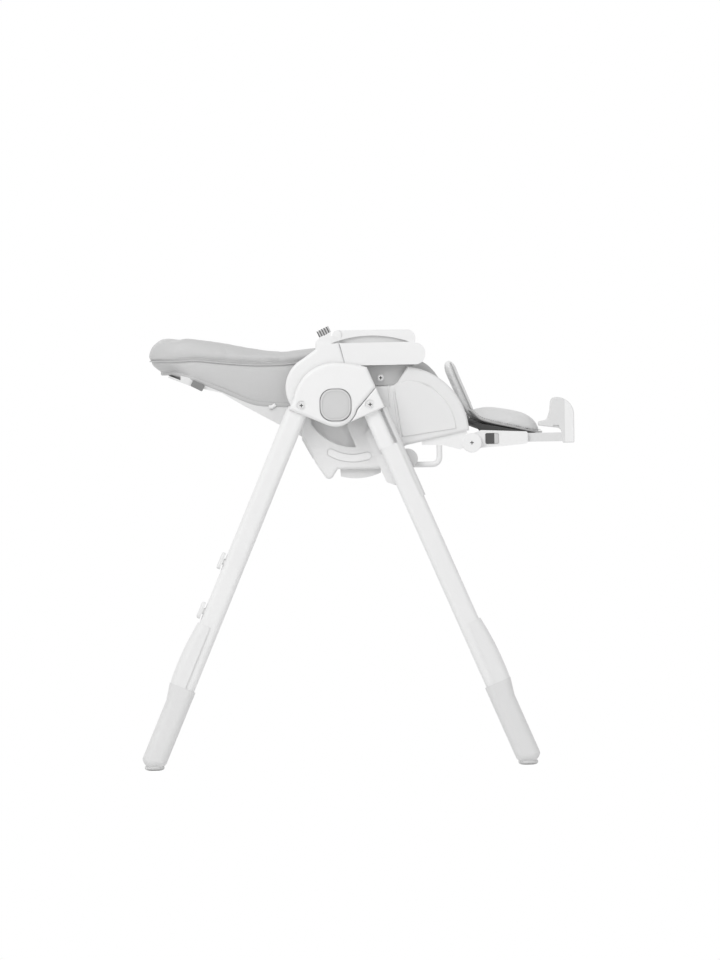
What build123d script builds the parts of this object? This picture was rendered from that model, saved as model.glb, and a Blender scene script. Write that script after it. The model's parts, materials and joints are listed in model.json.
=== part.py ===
from build123d import *
import os
from math import acos, atan2, cos, hypot, pi, radians, sin, sqrt, tan

# Folding baby high chair: two pairs of legs that close about side hubs, a seat that slides along the
# front legs, a back that reclines, armrests that lift and a padded legrest with a foot plate.
# Millimetres. +X is the way the child looks, +Z is up, +Y is the child's left. The origin is on the
# floor under the middle of the chair. Outlines of the seat, back and hubs are given from the hub axis.

# Hub axis and legs
HUB_X = -40.0
HUB_Z = 700.0
LEG_LEAN = radians(23.1)
LEG_OFFSET = 70.0
LEG_STANDOFF = 25.0
LEG_DEPTH = 41.0
LEG_WIDTH = 24.0
LEG_WALL = 1.8
TUBE_FOOT = 48.0
NECK_LENGTH = 72.0
NECK_DEPTH = 34.0
NECK_SHIFT = -5.5
SPIGOT_LENGTH = 45.0
SPIGOT_GAP = 0.2
BORE_GAP = 0.15

# Feet and cross tubes
SLEEVE_FOOT = 172.0
SLEEVE_LENGTH = 128.0
SLEEVE_WAIST = 78.0
SLEEVE_BULGE = 50.5
SLEEVE_TOP = 45.0
SLEEVE_WIDTH = 31.0
SLEEVE_LIP = 2.0
TONGUE_EDGE = -2.0
BOOT_FLARE = 34.0
BOOT_DEPTH = 47.0
BOOT_WIDTH = 33.0
BOOT_FLOOR = 7.0
BOOT_ROUND = 13.0
BOOT_RIM = 2.0
CROSS_TUBE = 32.0
CROSS_WALL = 1.8
CROSS_LEVEL = 85.0
COLLAR_WALL = 5.0
COLLAR_REACH = 46.0
GLIDE_LENGTH = 30.0
GLIDE_WIDTH = 21.0
GLIDE_ROUND = 5.5

# Hubs
HUB_THICK = 44.0
HUB_COVER = 4.0
HUB_RADIUS = 82.0
HUB_ROUND = 7.0
LOBE_RADIUS = 42.0
EAR_REACH = 16.0
CORNER_RISE = 42.0
HUB_BROW = 2.0
HUB_CORNER = 6.0
FOLD_GAP = 1.2
SEAM_ANGLE = radians(-12.0)
EAR_TURN = radians(170.0)
DISC_GAP = 2.0
DISC_THICK = 16.0
DISC_INSET = 2.0
POCKET_DEPTH = 26.0
PIN_RADIUS = 8.0
PIN_GAP = 0.05
PIN_HEAD = 13.0
PIN_HEAD_THICK = 1.4
SCREW_SIDE = 66.0
SCREW_HEAD = 5.5
SCREW_HEAD_THICK = 3.0
SCREW_SHANK = 2.4
SCREW_CROSS = 7.0
SCREW_SLOT = 1.6
SCREW_SLOT_DEPTH = 1.4
SCREW_SINK = 9.5
SCREW_SINK_DEPTH = 1.2

# Fold buttons in the hubs
BUTTON_WIDTH = 59.0
BUTTON_HEIGHT = 61.0
BUTTON_CORNER = 24.0
BUTTON_PROUD = 3.5
BUTTON_PLAY = 1.2
BUTTON_FLANGE = 3.0
BUTTON_LIP = 7.5
BUTTON_DOME = 2.0
BUTTON_RING = 4.5
BUTTON_GROOVE = 0.8
SPRING_RADIUS = 15.0
SPRING_WIRE = 1.6
SPRING_TURNS = 3

# Tray studs on the rear legs
STUD_STATIONS = (427.0, 324.0)
STUD_STEM = 6.0
STUD_RISE = 2.5
STUD_LENGTH = 34.0
STUD_WIDTH = 17.0
STUD_CAP = 8.0
STUD_ROUND = 4.0

# Seat carrier: bucket, side covers, pan, bottom cover
BUCKET_HALF = 178.0
BUCKET_SIDE = 7.0
BUCKET_WALL = 4.0
SIDE_THICK = 42.0
SIDE_WALL = 3.0
SIDE_ROUND = 6.0
PANEL_RISE = 2.5
PANEL_ROUND = 2.0
RECESS_DEPTH = 14.0
PAN_LEVEL = -50.0
PAN_THICK = 4.0
PAN_GAP = 0.3
COVER_OVERLAP = 28.0
INLAY_DEPTH = 2.2
INLAY_GAP = 1.1
SEAT_BASE = -124.0
SEAT_REAR = -66.0
FLOOR_HEEL = (84.0, SEAT_BASE)
FLOOR_KNEE = (134.0, -80.0)
FLOOR_LIP = (254.0, -53.0)
LIP_RISE = 15.0
SEAT_FLOOR = (
    (SEAT_REAR, -66), (-46, -102), (-22, SEAT_BASE), FLOOR_HEEL, FLOOR_KNEE, FLOOR_LIP,
    (FLOOR_LIP[0], FLOOR_LIP[1] + LIP_RISE),
)
WING_FOOT = (257.0, FLOOR_LIP[1])
WING_MID = (223.0, 29.0)
WING_TOP = (140.0, 72.0)
SIDE_LINE = (
    WING_TOP, (116, 36), (62, 34), (44, -6), (SEAT_REAR, -6), (SEAT_REAR, -58),
    (-40, -112), (-14, -150), (2, SEAT_BASE), FLOOR_HEEL, FLOOR_KNEE, WING_FOOT,
)
SIDE_RADII = (20, 4, 6, 6, 10, 30, 9, 3, 6, 12)
PANEL_LINE = ((142, 45), (113, 38), (128, -64), (232, -49))
PANEL_RADII = (12, 6)
PANEL_MID = (203, 16)
INLAY_ARC = ((-10, -92), (28, -103), (60, -99))
INLAY_HEIGHT = 16.0
RECESS_ARC = ((-48, -35), (-15, -68), (38, -82))
RECESS_SIDE = (22, -40)
WALL_REAR = -62.0
PAN_REAR = 6.0
PAN_FRONT = 228.0
COVER_LINE = ((8, -138), (7, SEAT_BASE), (86, SEAT_BASE), (85, -132))
COVER_LOW = (44, -142)
BOSS_SPOT = (88.0, 51.0)
BOSS_RADIUS = 7.5
BOSS_LENGTH = 26.0

# Height carriages on the front legs
WEB_THICK = 13.0
WEB_LAP = 3.5
WEB_REAR = 35.0
WEB_ROUND = 6.0
WEB_FRONT = LEG_DEPTH / 2 + WEB_LAP
WEB_LINE = (
    (WEB_FRONT, 560), (WEB_FRONT, 745), (-WEB_REAR, 715), (-WEB_REAR, 612), (-WEB_FRONT, 602), (0, 585),
)
SHOE_FOOT = 602.0
SHOE_LENGTH = 62.0
SHOE_LIP = 3.0
LIP_WRAP = 4.5
SHOE_GAP = 0.4
HEIGHT_RADIUS = 20.0
HEIGHT_ALONG = 637.0
HEIGHT_ACROSS = 20.0
HEIGHT_THICK = 15.0
HEIGHT_FLOOR = 3.0
HEIGHT_STROKE = 6.0
HEIGHT_PLAY = 0.5
HEIGHT_GAP = 1.1
HEIGHT_ROUND = 2.5

# Under-seat braces and legrest brackets
BRACE_ROD = 11.0
BRACE_BEND = 14.0
BRACKET_STANDOFF = 23.0
BRACKET_THICK = 13.0
BRACKET_TAIL = 165.0
BRACKET_NOSE = 252.0
BRACKET_WAIST = (203.0, -80.0)
BRACKET_LOW = (240.0, -90.0)
BRACE_LEVEL = -117.5
BRACE_REAR = 99.0
BRACE_FRONT = 199.0
LEG_PIVOT = (262.0, -77.0)
LEG_HUB = 19.0
LEG_PIN = 6.0
LEG_CAP = 4.0
LEG_CAP_ROUND = 1.5

# Shoulders, armrests and their buttons
ARM_STANDOFF = 8.0
ARM_PLAY = 4.0
ARM_PIVOT = (5.0, 135.0)
SHOULDER_TOP = (-62.0, 90.0)
SHOULDER_BACK = ((-86, 0), (-96, 36), SHOULDER_TOP)
SHOULDER_LINE = (SHOULDER_TOP, (-37, 108), (-37, 122), (-29, 130), (-6, 141))
SHOULDER_FRONT = 24.0
SHOULDER_BASE = 4.0
KNUCKLE = 9.0
KNUCKLE_GAP = 0.5
LUG_WIDTH = 11.0
ARM_PIN = 3.0
ARM_GROOVE = 3.5
ARM_LEVEL = 118.0
ARM_BASE = 76.0
ARM_FRONT = 175.0
SEAM_FOOT = (22.0, ARM_BASE)
ARM_ROUND = 13.0
ARM_NOSE = 19.5
RAIL_TOP = 144.0
RAIL_FRONT = 156.0
RAIL_WIDTH = 28.0
RAIL_CORNER = 16.0
SCOOP_ARC = ((-7, 119), (70, 133), (144, 120))
SCOOP_DEPTH = 6.0
SHOULDER_ROUND = 6.0
SEAM_GAP = 1.0
RIB_LENGTH = 25.0
RIB_HEIGHT = 13.0
RIB_WIDTH = 18.0
RIB_COUNT = 5
RIB_GROOVE = 1.6
RIB_TILT = 25.6
RIB_SPOT = (-17.5, 135.5)
RIB_STEM = 6.0
RIB_STROKE = 4.0
RIB_PLAY = 0.5

# Backrest
BACK_PIVOT = (-35.0, -28.0)
BACK_ROLL = 43.0
BACK_LOW = ((-322, 58), (-280, 41), (-220, 27), (-180, 3))
BACK_HEM = ((-326, 68), (-280, 58), (-220, 35), (-160, 9), (-120, 4), (-86, 3))
BACK_TOP = (
    (-361, 100), (-352, 120), (-322, 132), (-280, 132), (-220, 124), (-160, 113), (-100, 105.5), (-36, 110),
)
BACK_SEAM = ((-346, 90), (-310, 88.5), (-260, 89.5), (-220, 85), (-160, 80), (-100, 80), (-60, 84))
BACK_DISH = ((-318, 92), (-260, 73), (-220, 55), (-180, 36), (-140, 18), (-100, 2), (-58, -8))
BACK_NOSE = (-22.0, 20.0)
BACK_CHIN = (-352.0, 84.0)
ROLL_END = radians(350.0)
DISH_CEILING = 160.0
BACK_REACH = 400.0
BACK_PLAY = 9.0
BACK_WALL = 4.0
BACK_CHEEK = 6.0
BACK_PIN = 6.0
PAD_PLAY = 3.0
PAD_GAP = 0.4
PAD_BOLSTER = 50.0
PAD_ROUND = 9.0
PAD_HEAD = 72.0
SHELL_HEAD = 52.0
HEM_DROP = 1.5
SEAM_WIDTH = 2.4
SEAM_DEPTH = 1.6
HANDLE_LENGTH = 25.0
HANDLE_HEIGHT = 13.0
HANDLE_TILT = -27.0
HANDLE_SPOT = (-265.5, 41.5)
HANDLE_PLAY = 0.6
HANDLE_ROUND = 2.5

# Seat pad and crotch guard
SEAT_PAD_PLAY = 7.0
SEAT_PAD_THICK = 33.0
SEAT_PAD_REAR = 28.0
SEAT_PAD_FRONT = 244.0
SEAT_PAD_ROUND = 11.0
SEAT_BOLSTER = 26.0
SEAT_BOLSTER_LINE = ((104, -30), (104, 74), (150, 88), (173, 83), (195, 62), (218, 25), (230, -30))
GUARD_LINE = (
    (207, 84), (228, 84), (240, 45), (262, -6), (262, -29), (245, -29), (240, 0), (225, 26), (212, 50),
)
GUARD_RADII = (9, 9, 30, 5.5, 5.5, 5.5, 30, 30, 30)
POST_LINE = ((252, -37.5), (255, -20), (240, 14), (228, 45))
GUARD_HALF = 46.0
GUARD_ROUND = 4.0
POST_HALF = 26.0
POST_THICK = 6.0
POST_GAP = 0.3

# Legrest and foot plate
REST_ARM_GAP = 1.0
REST_ARM_THICK = 16.0
REST_ARM_END = 370.0
REST_ARM_LINE = (
    (262, -60), (280, -53), (REST_ARM_END, -57), (REST_ARM_END, -80), (330, -84), (280, -87), (262, -94),
)
REST_ROUND = 4.0
BOARD_LINE = ((266, -38), (385, -60))
BOARD_RIB = 285.0
BOARD_WALL = 4.0
WINDOW_LENGTH = 26.0
WINDOW_HEIGHT = 21.0
WINDOW_SPOT = (301.0, -69.5)
WINDOW_DEPTH = 6.0
WINDOW_CORNER = 3.0
REST_STROKE = 3.0
REST_PLAY = 0.4
REST_PROUD = 1.0
ROD_INSET = 2.0
ROD_THICK = 6.0
ROD_HEIGHT = 17.0
ROD_REAR = 300.0
ROD_LEVEL = -68.5
ROD_GAP = 0.3
REST_PAD_TOP = ((264, -11), (300, -11), (340, -17), (370, -25), (388, -36), (398, -52))
REST_PAD_INSET = 36.0
REST_PAD_ROUND = 9.0
REST_PAD_HEEL = 4.5
CHEEK_INSET = 10.0
CHEEK_THICK = 18.0
CHEEK_LINE = (
    (390, -38), (406, -35), (412, -18), (414.5, 8.5), (460, 8.5), (460, -80), (437, -80), (434, -52),
    (390, -46),
)
CHEEK_RADII = (2, 8, 12, 10, 34, 3, 3, 8, 2)
CHEEK_HOLE = (425.0, -48.5)
CHEEK_HOLE_SIZE = (12.0, 6.0)
CHEEK_HOLE_CORNER = 2.0
CHEEK_HOLE_DEPTH = 4.0
PLATE_LINE = ((402, -40), (408, -36), (413, -22), (417, 0), (424, 8))
PLATE_THICK = 6.0
CHEEK_ROUND = 2.5

# Derived places, from the middle of the chair outwards
BUCKET_IN = BUCKET_HALF - BUCKET_SIDE
BACK_HALF = BUCKET_IN - BACK_PLAY
PAD_HALF = BUCKET_IN - PAD_PLAY
SEAT_PAD_HALF = BUCKET_IN - SEAT_PAD_PLAY
COVER_HALF = BUCKET_HALF + COVER_OVERLAP
BRACKET_Y = BUCKET_HALF + BRACKET_STANDOFF
BRACE_Y = BRACKET_Y + BRACKET_THICK / 2 + ROD_INSET
REST_ARM_Y = BRACKET_Y - REST_ARM_GAP - REST_ARM_THICK
ROD_Y = REST_ARM_Y + ROD_INSET
CHEEK_Y = ROD_Y - CHEEK_INSET
REST_PAD_HALF = REST_ARM_Y - REST_PAD_INSET
LEG_Y = BUCKET_HALF + SIDE_THICK + WEB_THICK + LEG_STANDOFF
ARM_Y = BUCKET_HALF + ARM_STANDOFF
ARM_OUTER = LEG_Y - HUB_THICK / 2 - ARM_PLAY
HUB_IN = LEG_Y - HUB_THICK / 2
HUB_OUT = LEG_Y + HUB_THICK / 2
FOOT_X = LEG_OFFSET + HUB_Z * tan(LEG_LEAN)
HUB_ALONG = FOOT_X * sin(LEG_LEAN) + HUB_Z * cos(LEG_LEAN)
EAR_ALONG = HUB_ALONG - LOBE_RADIUS
NECK_FOOT = EAR_ALONG - NECK_LENGTH
SIDE_OUT = BUCKET_HALF + SIDE_THICK
WEB_IN = SIDE_OUT
WEB_OUT = WEB_IN + WEB_THICK
FRONT, REAR = 1, -1

os.makedirs("parts", exist_ok=True)


def save(part, name):
    """Label a finished piece and write it as one node."""
    part.label = name
    export_step(part, f"parts/{name}.step")


def save_pair(part, name):
    """Write a right-hand piece and its mirror image as two nodes."""
    save(part, f"{name}_right")
    save(mirror(part, about=Plane.XZ), f"{name}_left")


def save_both(part, name):
    """Write a right-hand piece and its mirror image as one node of two solids."""
    with BuildPart() as both:
        add(part)
        mirror(about=Plane.XZ)
    save(both.part, name)


def side(y):
    """Upright plane at distance y to the child's right, seen from outside, with the hub axis as origin."""
    return Plane(origin=(HUB_X, -y, HUB_Z), x_dir=(1, 0, 0), z_dir=(0, -1, 0))


def tilted(y, spot, angle):
    """The plane of side(y) moved to a spot and turned by an angle in degrees."""
    turn = radians(angle)
    origin = (HUB_X + spot[0], -y, HUB_Z + spot[1])
    return Plane(origin=origin, x_dir=(cos(turn), 0, sin(turn)), z_dir=(0, -1, 0))


def leg_section(end, along):
    """Plane across the right leg of one end, with local x pointing away from the chair."""
    up = (-end * sin(LEG_LEAN), 0, cos(LEG_LEAN))
    out = (end * cos(LEG_LEAN), 0, sin(LEG_LEAN))
    origin = (HUB_X + end * FOOT_X + along * up[0], -LEG_Y, along * up[2])
    return Plane(origin=origin, x_dir=out, z_dir=up)


def leg_point(end, across, along):
    """Place on a leg, seen from the side and measured from the hub axis."""
    x = FOOT_X - along * sin(LEG_LEAN) + across * cos(LEG_LEAN)
    z = along * cos(LEG_LEAN) + across * sin(LEG_LEAN) - HUB_Z
    return (end * x, z)


def polar(radius, angle, centre=(0.0, 0.0)):
    """Point at an angle round a centre."""
    return (centre[0] + radius * cos(angle), centre[1] + radius * sin(angle))


def parallel(points, gap):
    """Open line of points moved sideways by a gap, to the left of its direction."""
    moved = []
    for (x0, z0), (x1, z1) in zip(points, points[1:]):
        length = sqrt((x1 - x0) ** 2 + (z1 - z0) ** 2)
        nx, nz = -(z1 - z0) / length * gap, (x1 - x0) / length * gap
        moved.append(((x0 + nx, z0 + nz), (x1 + nx, z1 + nz)))
    line = [moved[0][0]]
    for ((ax, az), (bx, bz)), ((cx, cz), (dx, dz)) in zip(moved, moved[1:]):
        cross = (bx - ax) * (dz - cz) - (bz - az) * (dx - cx)
        share = ((cx - ax) * (dz - cz) - (cz - az) * (dx - cx)) / cross
        line.append((ax + share * (bx - ax), az + share * (bz - az)))
    return line + [moved[-1][1]]


def outward(part):
    """Outermost flat face of a right-hand piece."""
    return part.faces().sort_by(Axis.Y)[0]


# Leg tubes
for end, name, top in ((FRONT, "front_leg", NECK_FOOT), (REAR, "rear_leg", EAR_ALONG)):
    with BuildPart() as leg:
        with BuildSketch(leg_section(end, TUBE_FOOT)):
            SlotOverall(LEG_DEPTH, LEG_WIDTH)
            SlotOverall(LEG_DEPTH - 2 * LEG_WALL, LEG_WIDTH - 2 * LEG_WALL, mode=Mode.SUBTRACT)
        extrude(amount=top - TUBE_FOOT)
    save_pair(leg.part, name)

# Feet: sleeve, boot with the collar of the cross tube, rubber glide, cross tube
for end, name in ((FRONT, "front"), (REAR, "rear")):
    with BuildPart() as sleeve:
        inner_edge = -LEG_DEPTH / 2
        stations = (
            (SLEEVE_FOOT, SLEEVE_BULGE, SLEEVE_WIDTH),
            (SLEEVE_FOOT + SLEEVE_WAIST, SLEEVE_BULGE, SLEEVE_WIDTH),
            (SLEEVE_FOOT + SLEEVE_LENGTH, SLEEVE_TOP, SLEEVE_WIDTH - SLEEVE_LIP),
        )
        for along, depth, width in stations:
            with BuildSketch(leg_section(end, along)):
                with Locations((inner_edge - SLEEVE_LIP / 2 + depth / 2, 0)):
                    SlotOverall(depth, width)
        loft()
        with BuildSketch(leg_section(end, SLEEVE_FOOT)):
            SlotOverall(LEG_DEPTH + 2 * BORE_GAP, LEG_WIDTH + 2 * BORE_GAP)
        extrude(amount=SLEEVE_LENGTH, mode=Mode.SUBTRACT)
        with BuildSketch(leg_section(end, SLEEVE_FOOT)):
            with Locations((TONGUE_EDGE, 0)):
                Rectangle(SLEEVE_BULGE, 2 * SLEEVE_WIDTH, align=(Align.MIN, Align.CENTER))
        extrude(amount=SLEEVE_LENGTH, mode=Mode.INTERSECT)
    save_both(sleeve.part, f"{name}_sleeves")

    foot = leg_section(end, CROSS_LEVEL).origin
    with BuildPart() as boot:
        with BuildSketch(leg_section(end, SLEEVE_FOOT)):
            SlotOverall(BOOT_DEPTH, BOOT_WIDTH)
        extrude(amount=-SLEEVE_FOOT - BOOT_DEPTH)
        split(bisect_by=Plane.XY.offset(BOOT_FLOOR), keep=Keep.TOP)
        fillet(boot.faces().sort_by(Axis.Z)[0].edges(), radius=BOOT_ROUND)
        with BuildSketch(leg_section(end, SLEEVE_FOOT)):
            with Locations((inner_edge - BOOT_RIM + (SLEEVE_BULGE + BOOT_RIM) / 2, 0)):
                SlotOverall(SLEEVE_BULGE + BOOT_RIM, BOOT_WIDTH)
        with BuildSketch(leg_section(end, SLEEVE_FOOT - BOOT_FLARE)):
            SlotOverall(BOOT_DEPTH, BOOT_WIDTH)
        loft()
        with BuildSketch(Plane(origin=foot, x_dir=(1, 0, 0), z_dir=(0, 1, 0))):
            Circle(CROSS_TUBE / 2 + COLLAR_WALL)
        extrude(amount=COLLAR_REACH)
        with BuildSketch(leg_section(end, TUBE_FOOT)):
            SlotOverall(LEG_DEPTH + 2 * BORE_GAP, LEG_WIDTH + 2 * BORE_GAP)
        extrude(amount=SLEEVE_FOOT, mode=Mode.SUBTRACT)
        socket = foot + Vector(0, LEG_WIDTH / 2 + 2 * BORE_GAP, 0)
        with BuildSketch(Plane(origin=socket, x_dir=(1, 0, 0), z_dir=(0, 1, 0))):
            Circle(CROSS_TUBE / 2 + BORE_GAP)
        extrude(amount=COLLAR_REACH, mode=Mode.SUBTRACT)
    save_pair(boot.part, f"{name}_boot")

    with BuildPart() as glide:
        centre = leg_section(end, BOOT_FLOOR / cos(LEG_LEAN)).origin
        with BuildSketch(Plane(origin=(centre.X, centre.Y, 0))):
            SlotOverall(GLIDE_LENGTH, GLIDE_WIDTH)
        extrude(amount=BOOT_FLOOR)
        fillet(glide.faces().sort_by(Axis.Z)[0].edges(), radius=GLIDE_ROUND)
    save_both(glide.part, f"{name}_glides")

    with BuildPart() as cross_tube:
        with BuildSketch(Plane(origin=(foot.X, 0, foot.Z), x_dir=(1, 0, 0), z_dir=(0, 1, 0))):
            Circle(CROSS_TUBE / 2)
            Circle(CROSS_TUBE / 2 - CROSS_WALL, mode=Mode.SUBTRACT)
        extrude(amount=LEG_Y - LEG_WIDTH / 2 - 2 * BORE_GAP, both=True)
    save(cross_tube.part, f"{name}_cross_tube")

# Hub outlines
lobe_rear = polar(LOBE_RADIUS, -pi / 2 - LEG_LEAN)
seam_low = polar(LOBE_RADIUS, SEAM_ANGLE)
seam_high = leg_point(FRONT, LEG_DEPTH / 2, HUB_ALONG)
hub_corner = leg_point(FRONT, LEG_DEPTH / 2, HUB_ALONG + CORNER_RISE)
hub_top = (0.0, HUB_RADIUS)
hub_brow = (hub_corner[0] / 2, (hub_corner[1] + HUB_RADIUS) / 2 + HUB_BROW)
hub_left = polar(HUB_RADIUS, EAR_TURN)
ear_rear = leg_point(REAR, EAR_REACH, EAR_ALONG)
ear_front = leg_point(FRONT, LEG_DEPTH / 2, EAR_ALONG)
gap_radius = LOBE_RADIUS + FOLD_GAP
gap_turn = -pi / 2 + LEG_LEAN + sqrt(gap_radius**2 - LOBE_RADIUS**2) / LOBE_RADIUS
gap_low = polar(gap_radius, gap_turn)
gap_high = polar(gap_radius, SEAM_ANGLE - FOLD_GAP / LOBE_RADIUS)
gap_end = leg_point(FRONT, LEG_DEPTH / 2, HUB_ALONG - FOLD_GAP)


def housing_outline():
    """Face of the rear half of a hub: round top, corner over the front leg, ear and lower lobe."""
    with BuildLine() as outline:
        ThreePointArc(lobe_rear, polar(LOBE_RADIUS, -pi / 3), seam_low)
        Line(seam_low, seam_high)
        Line(seam_high, hub_corner)
        ThreePointArc(hub_corner, hub_brow, hub_top)
        ThreePointArc(hub_top, polar(HUB_RADIUS, (pi / 2 + EAR_TURN) / 2), hub_left)
        Line(hub_left, ear_rear)
        Line(ear_rear, lobe_rear)
    return outline.line


def screw(spot, y_face, length):
    """Cross-head screw along Y with its head on the plane y_face at the child's right."""
    with BuildPart() as piece:
        with BuildSketch(side(y_face)):
            with Locations(spot):
                Circle(SCREW_HEAD)
        extrude(amount=SCREW_HEAD_THICK)
        with BuildSketch(side(y_face)):
            with Locations(spot):
                Circle(SCREW_SHANK)
        extrude(amount=-length)
        with BuildSketch(side(y_face + SCREW_HEAD_THICK)):
            with Locations(spot):
                Rectangle(SCREW_CROSS, SCREW_SLOT)
                Rectangle(SCREW_SLOT, SCREW_CROSS)
        extrude(amount=-SCREW_SLOT_DEPTH, mode=Mode.SUBTRACT)
    return piece.part


def screw_hole(spot, y_face, length):
    """Tool body of the hole and the shallow seat of a screw."""
    with BuildPart() as tool:
        with BuildSketch(side(y_face)):
            with Locations(spot):
                Circle(SCREW_SHANK + BORE_GAP)
        extrude(amount=-length)
        with BuildSketch(side(y_face)):
            with Locations(spot):
                Circle(SCREW_SINK)
        extrude(amount=SCREW_SINK_DEPTH + SCREW_HEAD_THICK)
    return tool.part


screw_seat = HUB_OUT - SCREW_SINK_DEPTH - SCREW_HEAD_THICK / 2
screw_length = screw_seat - HUB_IN - HUB_COVER
button_back = HUB_OUT - BUTTON_LIP

# Hub housings on the rear legs
with BuildPart() as housing:
    with BuildSketch(side(HUB_IN + HUB_COVER)):
        make_face(housing_outline().edges())
    extrude(amount=HUB_THICK - HUB_COVER)
    corner = housing.edges().filter_by(Axis.Y).sort_by_distance(
        side(HUB_OUT).from_local_coords(Vector(*hub_corner, 0))
    )[0]
    fillet(corner, radius=HUB_CORNER)
    fillet(outward(housing).edges(), radius=HUB_ROUND)
    with BuildSketch(side(HUB_IN + HUB_COVER)):
        Circle(gap_radius)
    extrude(amount=POCKET_DEPTH, mode=Mode.SUBTRACT)
    with BuildSketch(side(HUB_IN + HUB_COVER)):
        RectangleRounded(
            BUTTON_WIDTH + 2 * (BUTTON_PLAY + BUTTON_FLANGE),
            BUTTON_HEIGHT + 2 * (BUTTON_PLAY + BUTTON_FLANGE),
            BUTTON_CORNER,
        )
    extrude(amount=button_back - HUB_IN - HUB_COVER, mode=Mode.SUBTRACT)
    with BuildSketch(side(HUB_IN + HUB_COVER)):
        RectangleRounded(
            BUTTON_WIDTH + 2 * BUTTON_PLAY, BUTTON_HEIGHT + 2 * BUTTON_PLAY, BUTTON_CORNER
        )
    extrude(amount=HUB_THICK, mode=Mode.SUBTRACT)
    with BuildSketch(leg_section(REAR, EAR_ALONG - SPIGOT_LENGTH)):
        SlotOverall(
            LEG_DEPTH - 2 * (LEG_WALL + SPIGOT_GAP), LEG_WIDTH - 2 * (LEG_WALL + SPIGOT_GAP)
        )
    extrude(amount=SPIGOT_LENGTH + HUB_CORNER)
    add(screw_hole((-SCREW_SIDE, 0), screw_seat, screw_length), mode=Mode.SUBTRACT)
save_pair(housing.part, "hub_housing")

with BuildPart() as cover:
    with BuildSketch(side(HUB_IN)):
        make_face(housing_outline().edges())
        Circle(PIN_RADIUS + PIN_GAP, mode=Mode.SUBTRACT)
    extrude(amount=HUB_COVER)
save_both(cover.part, "hub_covers")

save_both(screw((-SCREW_SIDE, 0), screw_seat, screw_length), "rear_hub_screws")

# Hub brackets on the front legs, with the disc that turns inside the housing
disc_in = HUB_IN + HUB_COVER + DISC_INSET
with BuildPart() as bracket:
    with BuildSketch(side(HUB_IN)):
        with BuildLine():
            Line(gap_low, ear_front)
            Line(ear_front, gap_end)
            Line(gap_end, gap_high)
            ThreePointArc(gap_high, polar(gap_radius, (SEAM_ANGLE + gap_turn) / 2), gap_low)
        make_face()
    extrude(amount=HUB_THICK)
    fillet(outward(bracket).edges(), radius=HUB_CORNER / 2)
    add(screw_hole((SCREW_SIDE, 0), screw_seat, screw_length), mode=Mode.SUBTRACT)
    with BuildSketch(side(disc_in)):
        Circle(LOBE_RADIUS - DISC_GAP)
        with BuildLine():
            Polyline(
                (0, 0),
                polar(gap_radius + FOLD_GAP, gap_turn + FOLD_GAP / LOBE_RADIUS),
                polar(gap_radius + FOLD_GAP, SEAM_ANGLE - 2 * FOLD_GAP / LOBE_RADIUS),
                (0, 0),
            )
        make_face()
    extrude(amount=DISC_THICK)
    with BuildSketch(side(disc_in)):
        Circle(PIN_RADIUS + PIN_GAP)
    extrude(amount=DISC_THICK, mode=Mode.SUBTRACT)
    with BuildSketch(leg_section(FRONT, NECK_FOOT)):
        with Locations((NECK_SHIFT, 0)):
            SlotOverall(NECK_DEPTH, LEG_WIDTH)
    extrude(amount=NECK_LENGTH + HUB_CORNER)
    with BuildSketch(leg_section(FRONT, NECK_FOOT - SPIGOT_LENGTH)):
        SlotOverall(
            LEG_DEPTH - 2 * (LEG_WALL + SPIGOT_GAP), LEG_WIDTH - 2 * (LEG_WALL + SPIGOT_GAP)
        )
    extrude(amount=SPIGOT_LENGTH)
save_pair(bracket.part, "hub_bracket")
save_both(screw((SCREW_SIDE, 0), screw_seat, screw_length), "front_hub_screws")

with BuildPart() as pivot_pin:
    with BuildSketch(side(HUB_IN - PIN_HEAD_THICK)):
        Circle(PIN_HEAD)
    extrude(amount=PIN_HEAD_THICK)
    with BuildSketch(side(HUB_IN)):
        Circle(PIN_RADIUS)
    extrude(amount=HUB_COVER + DISC_INSET + DISC_THICK)
save_both(pivot_pin.part, "hub_pivot_pins")

# Fold buttons with their return springs
with BuildPart() as fold_button:
    with BuildSketch(side(button_back - BUTTON_FLANGE)):
        RectangleRounded(
            BUTTON_WIDTH + 2 * BUTTON_FLANGE, BUTTON_HEIGHT + 2 * BUTTON_FLANGE, BUTTON_CORNER
        )
    extrude(amount=BUTTON_FLANGE)
    with BuildSketch(side(button_back)):
        RectangleRounded(BUTTON_WIDTH, BUTTON_HEIGHT, BUTTON_CORNER)
    extrude(amount=BUTTON_LIP + BUTTON_PROUD)
    fillet(outward(fold_button).edges(), radius=BUTTON_DOME)
    with BuildSketch(side(HUB_OUT + BUTTON_PROUD - BUTTON_GROOVE)):
        for inset, mode in ((BUTTON_RING, Mode.ADD), (BUTTON_RING + BUTTON_GROOVE, Mode.SUBTRACT)):
            RectangleRounded(
                BUTTON_WIDTH - 2 * inset, BUTTON_HEIGHT - 2 * inset, BUTTON_CORNER - inset, mode=mode
            )
    extrude(amount=BUTTON_GROOVE, mode=Mode.SUBTRACT)
save_pair(fold_button.part, "fold_button")

spring_in = disc_in + DISC_THICK
spring_length = button_back - BUTTON_FLANGE - spring_in
with BuildPart() as spring:
    pitch = (spring_length - SPRING_WIRE - 2 * BORE_GAP) / SPRING_TURNS
    with BuildLine() as coil:
        Helix(
            pitch=pitch,
            height=pitch * SPRING_TURNS,
            radius=SPRING_RADIUS,
            center=(HUB_X, -spring_in - BORE_GAP - SPRING_WIRE / 2, HUB_Z),
            direction=(0, -1, 0),
        )
    with BuildSketch(Plane(origin=coil.line @ 0, z_dir=coil.line % 0)):
        Circle(SPRING_WIRE / 2)
    sweep(is_frenet=True)
save_pair(spring.part, "fold_spring")

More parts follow.
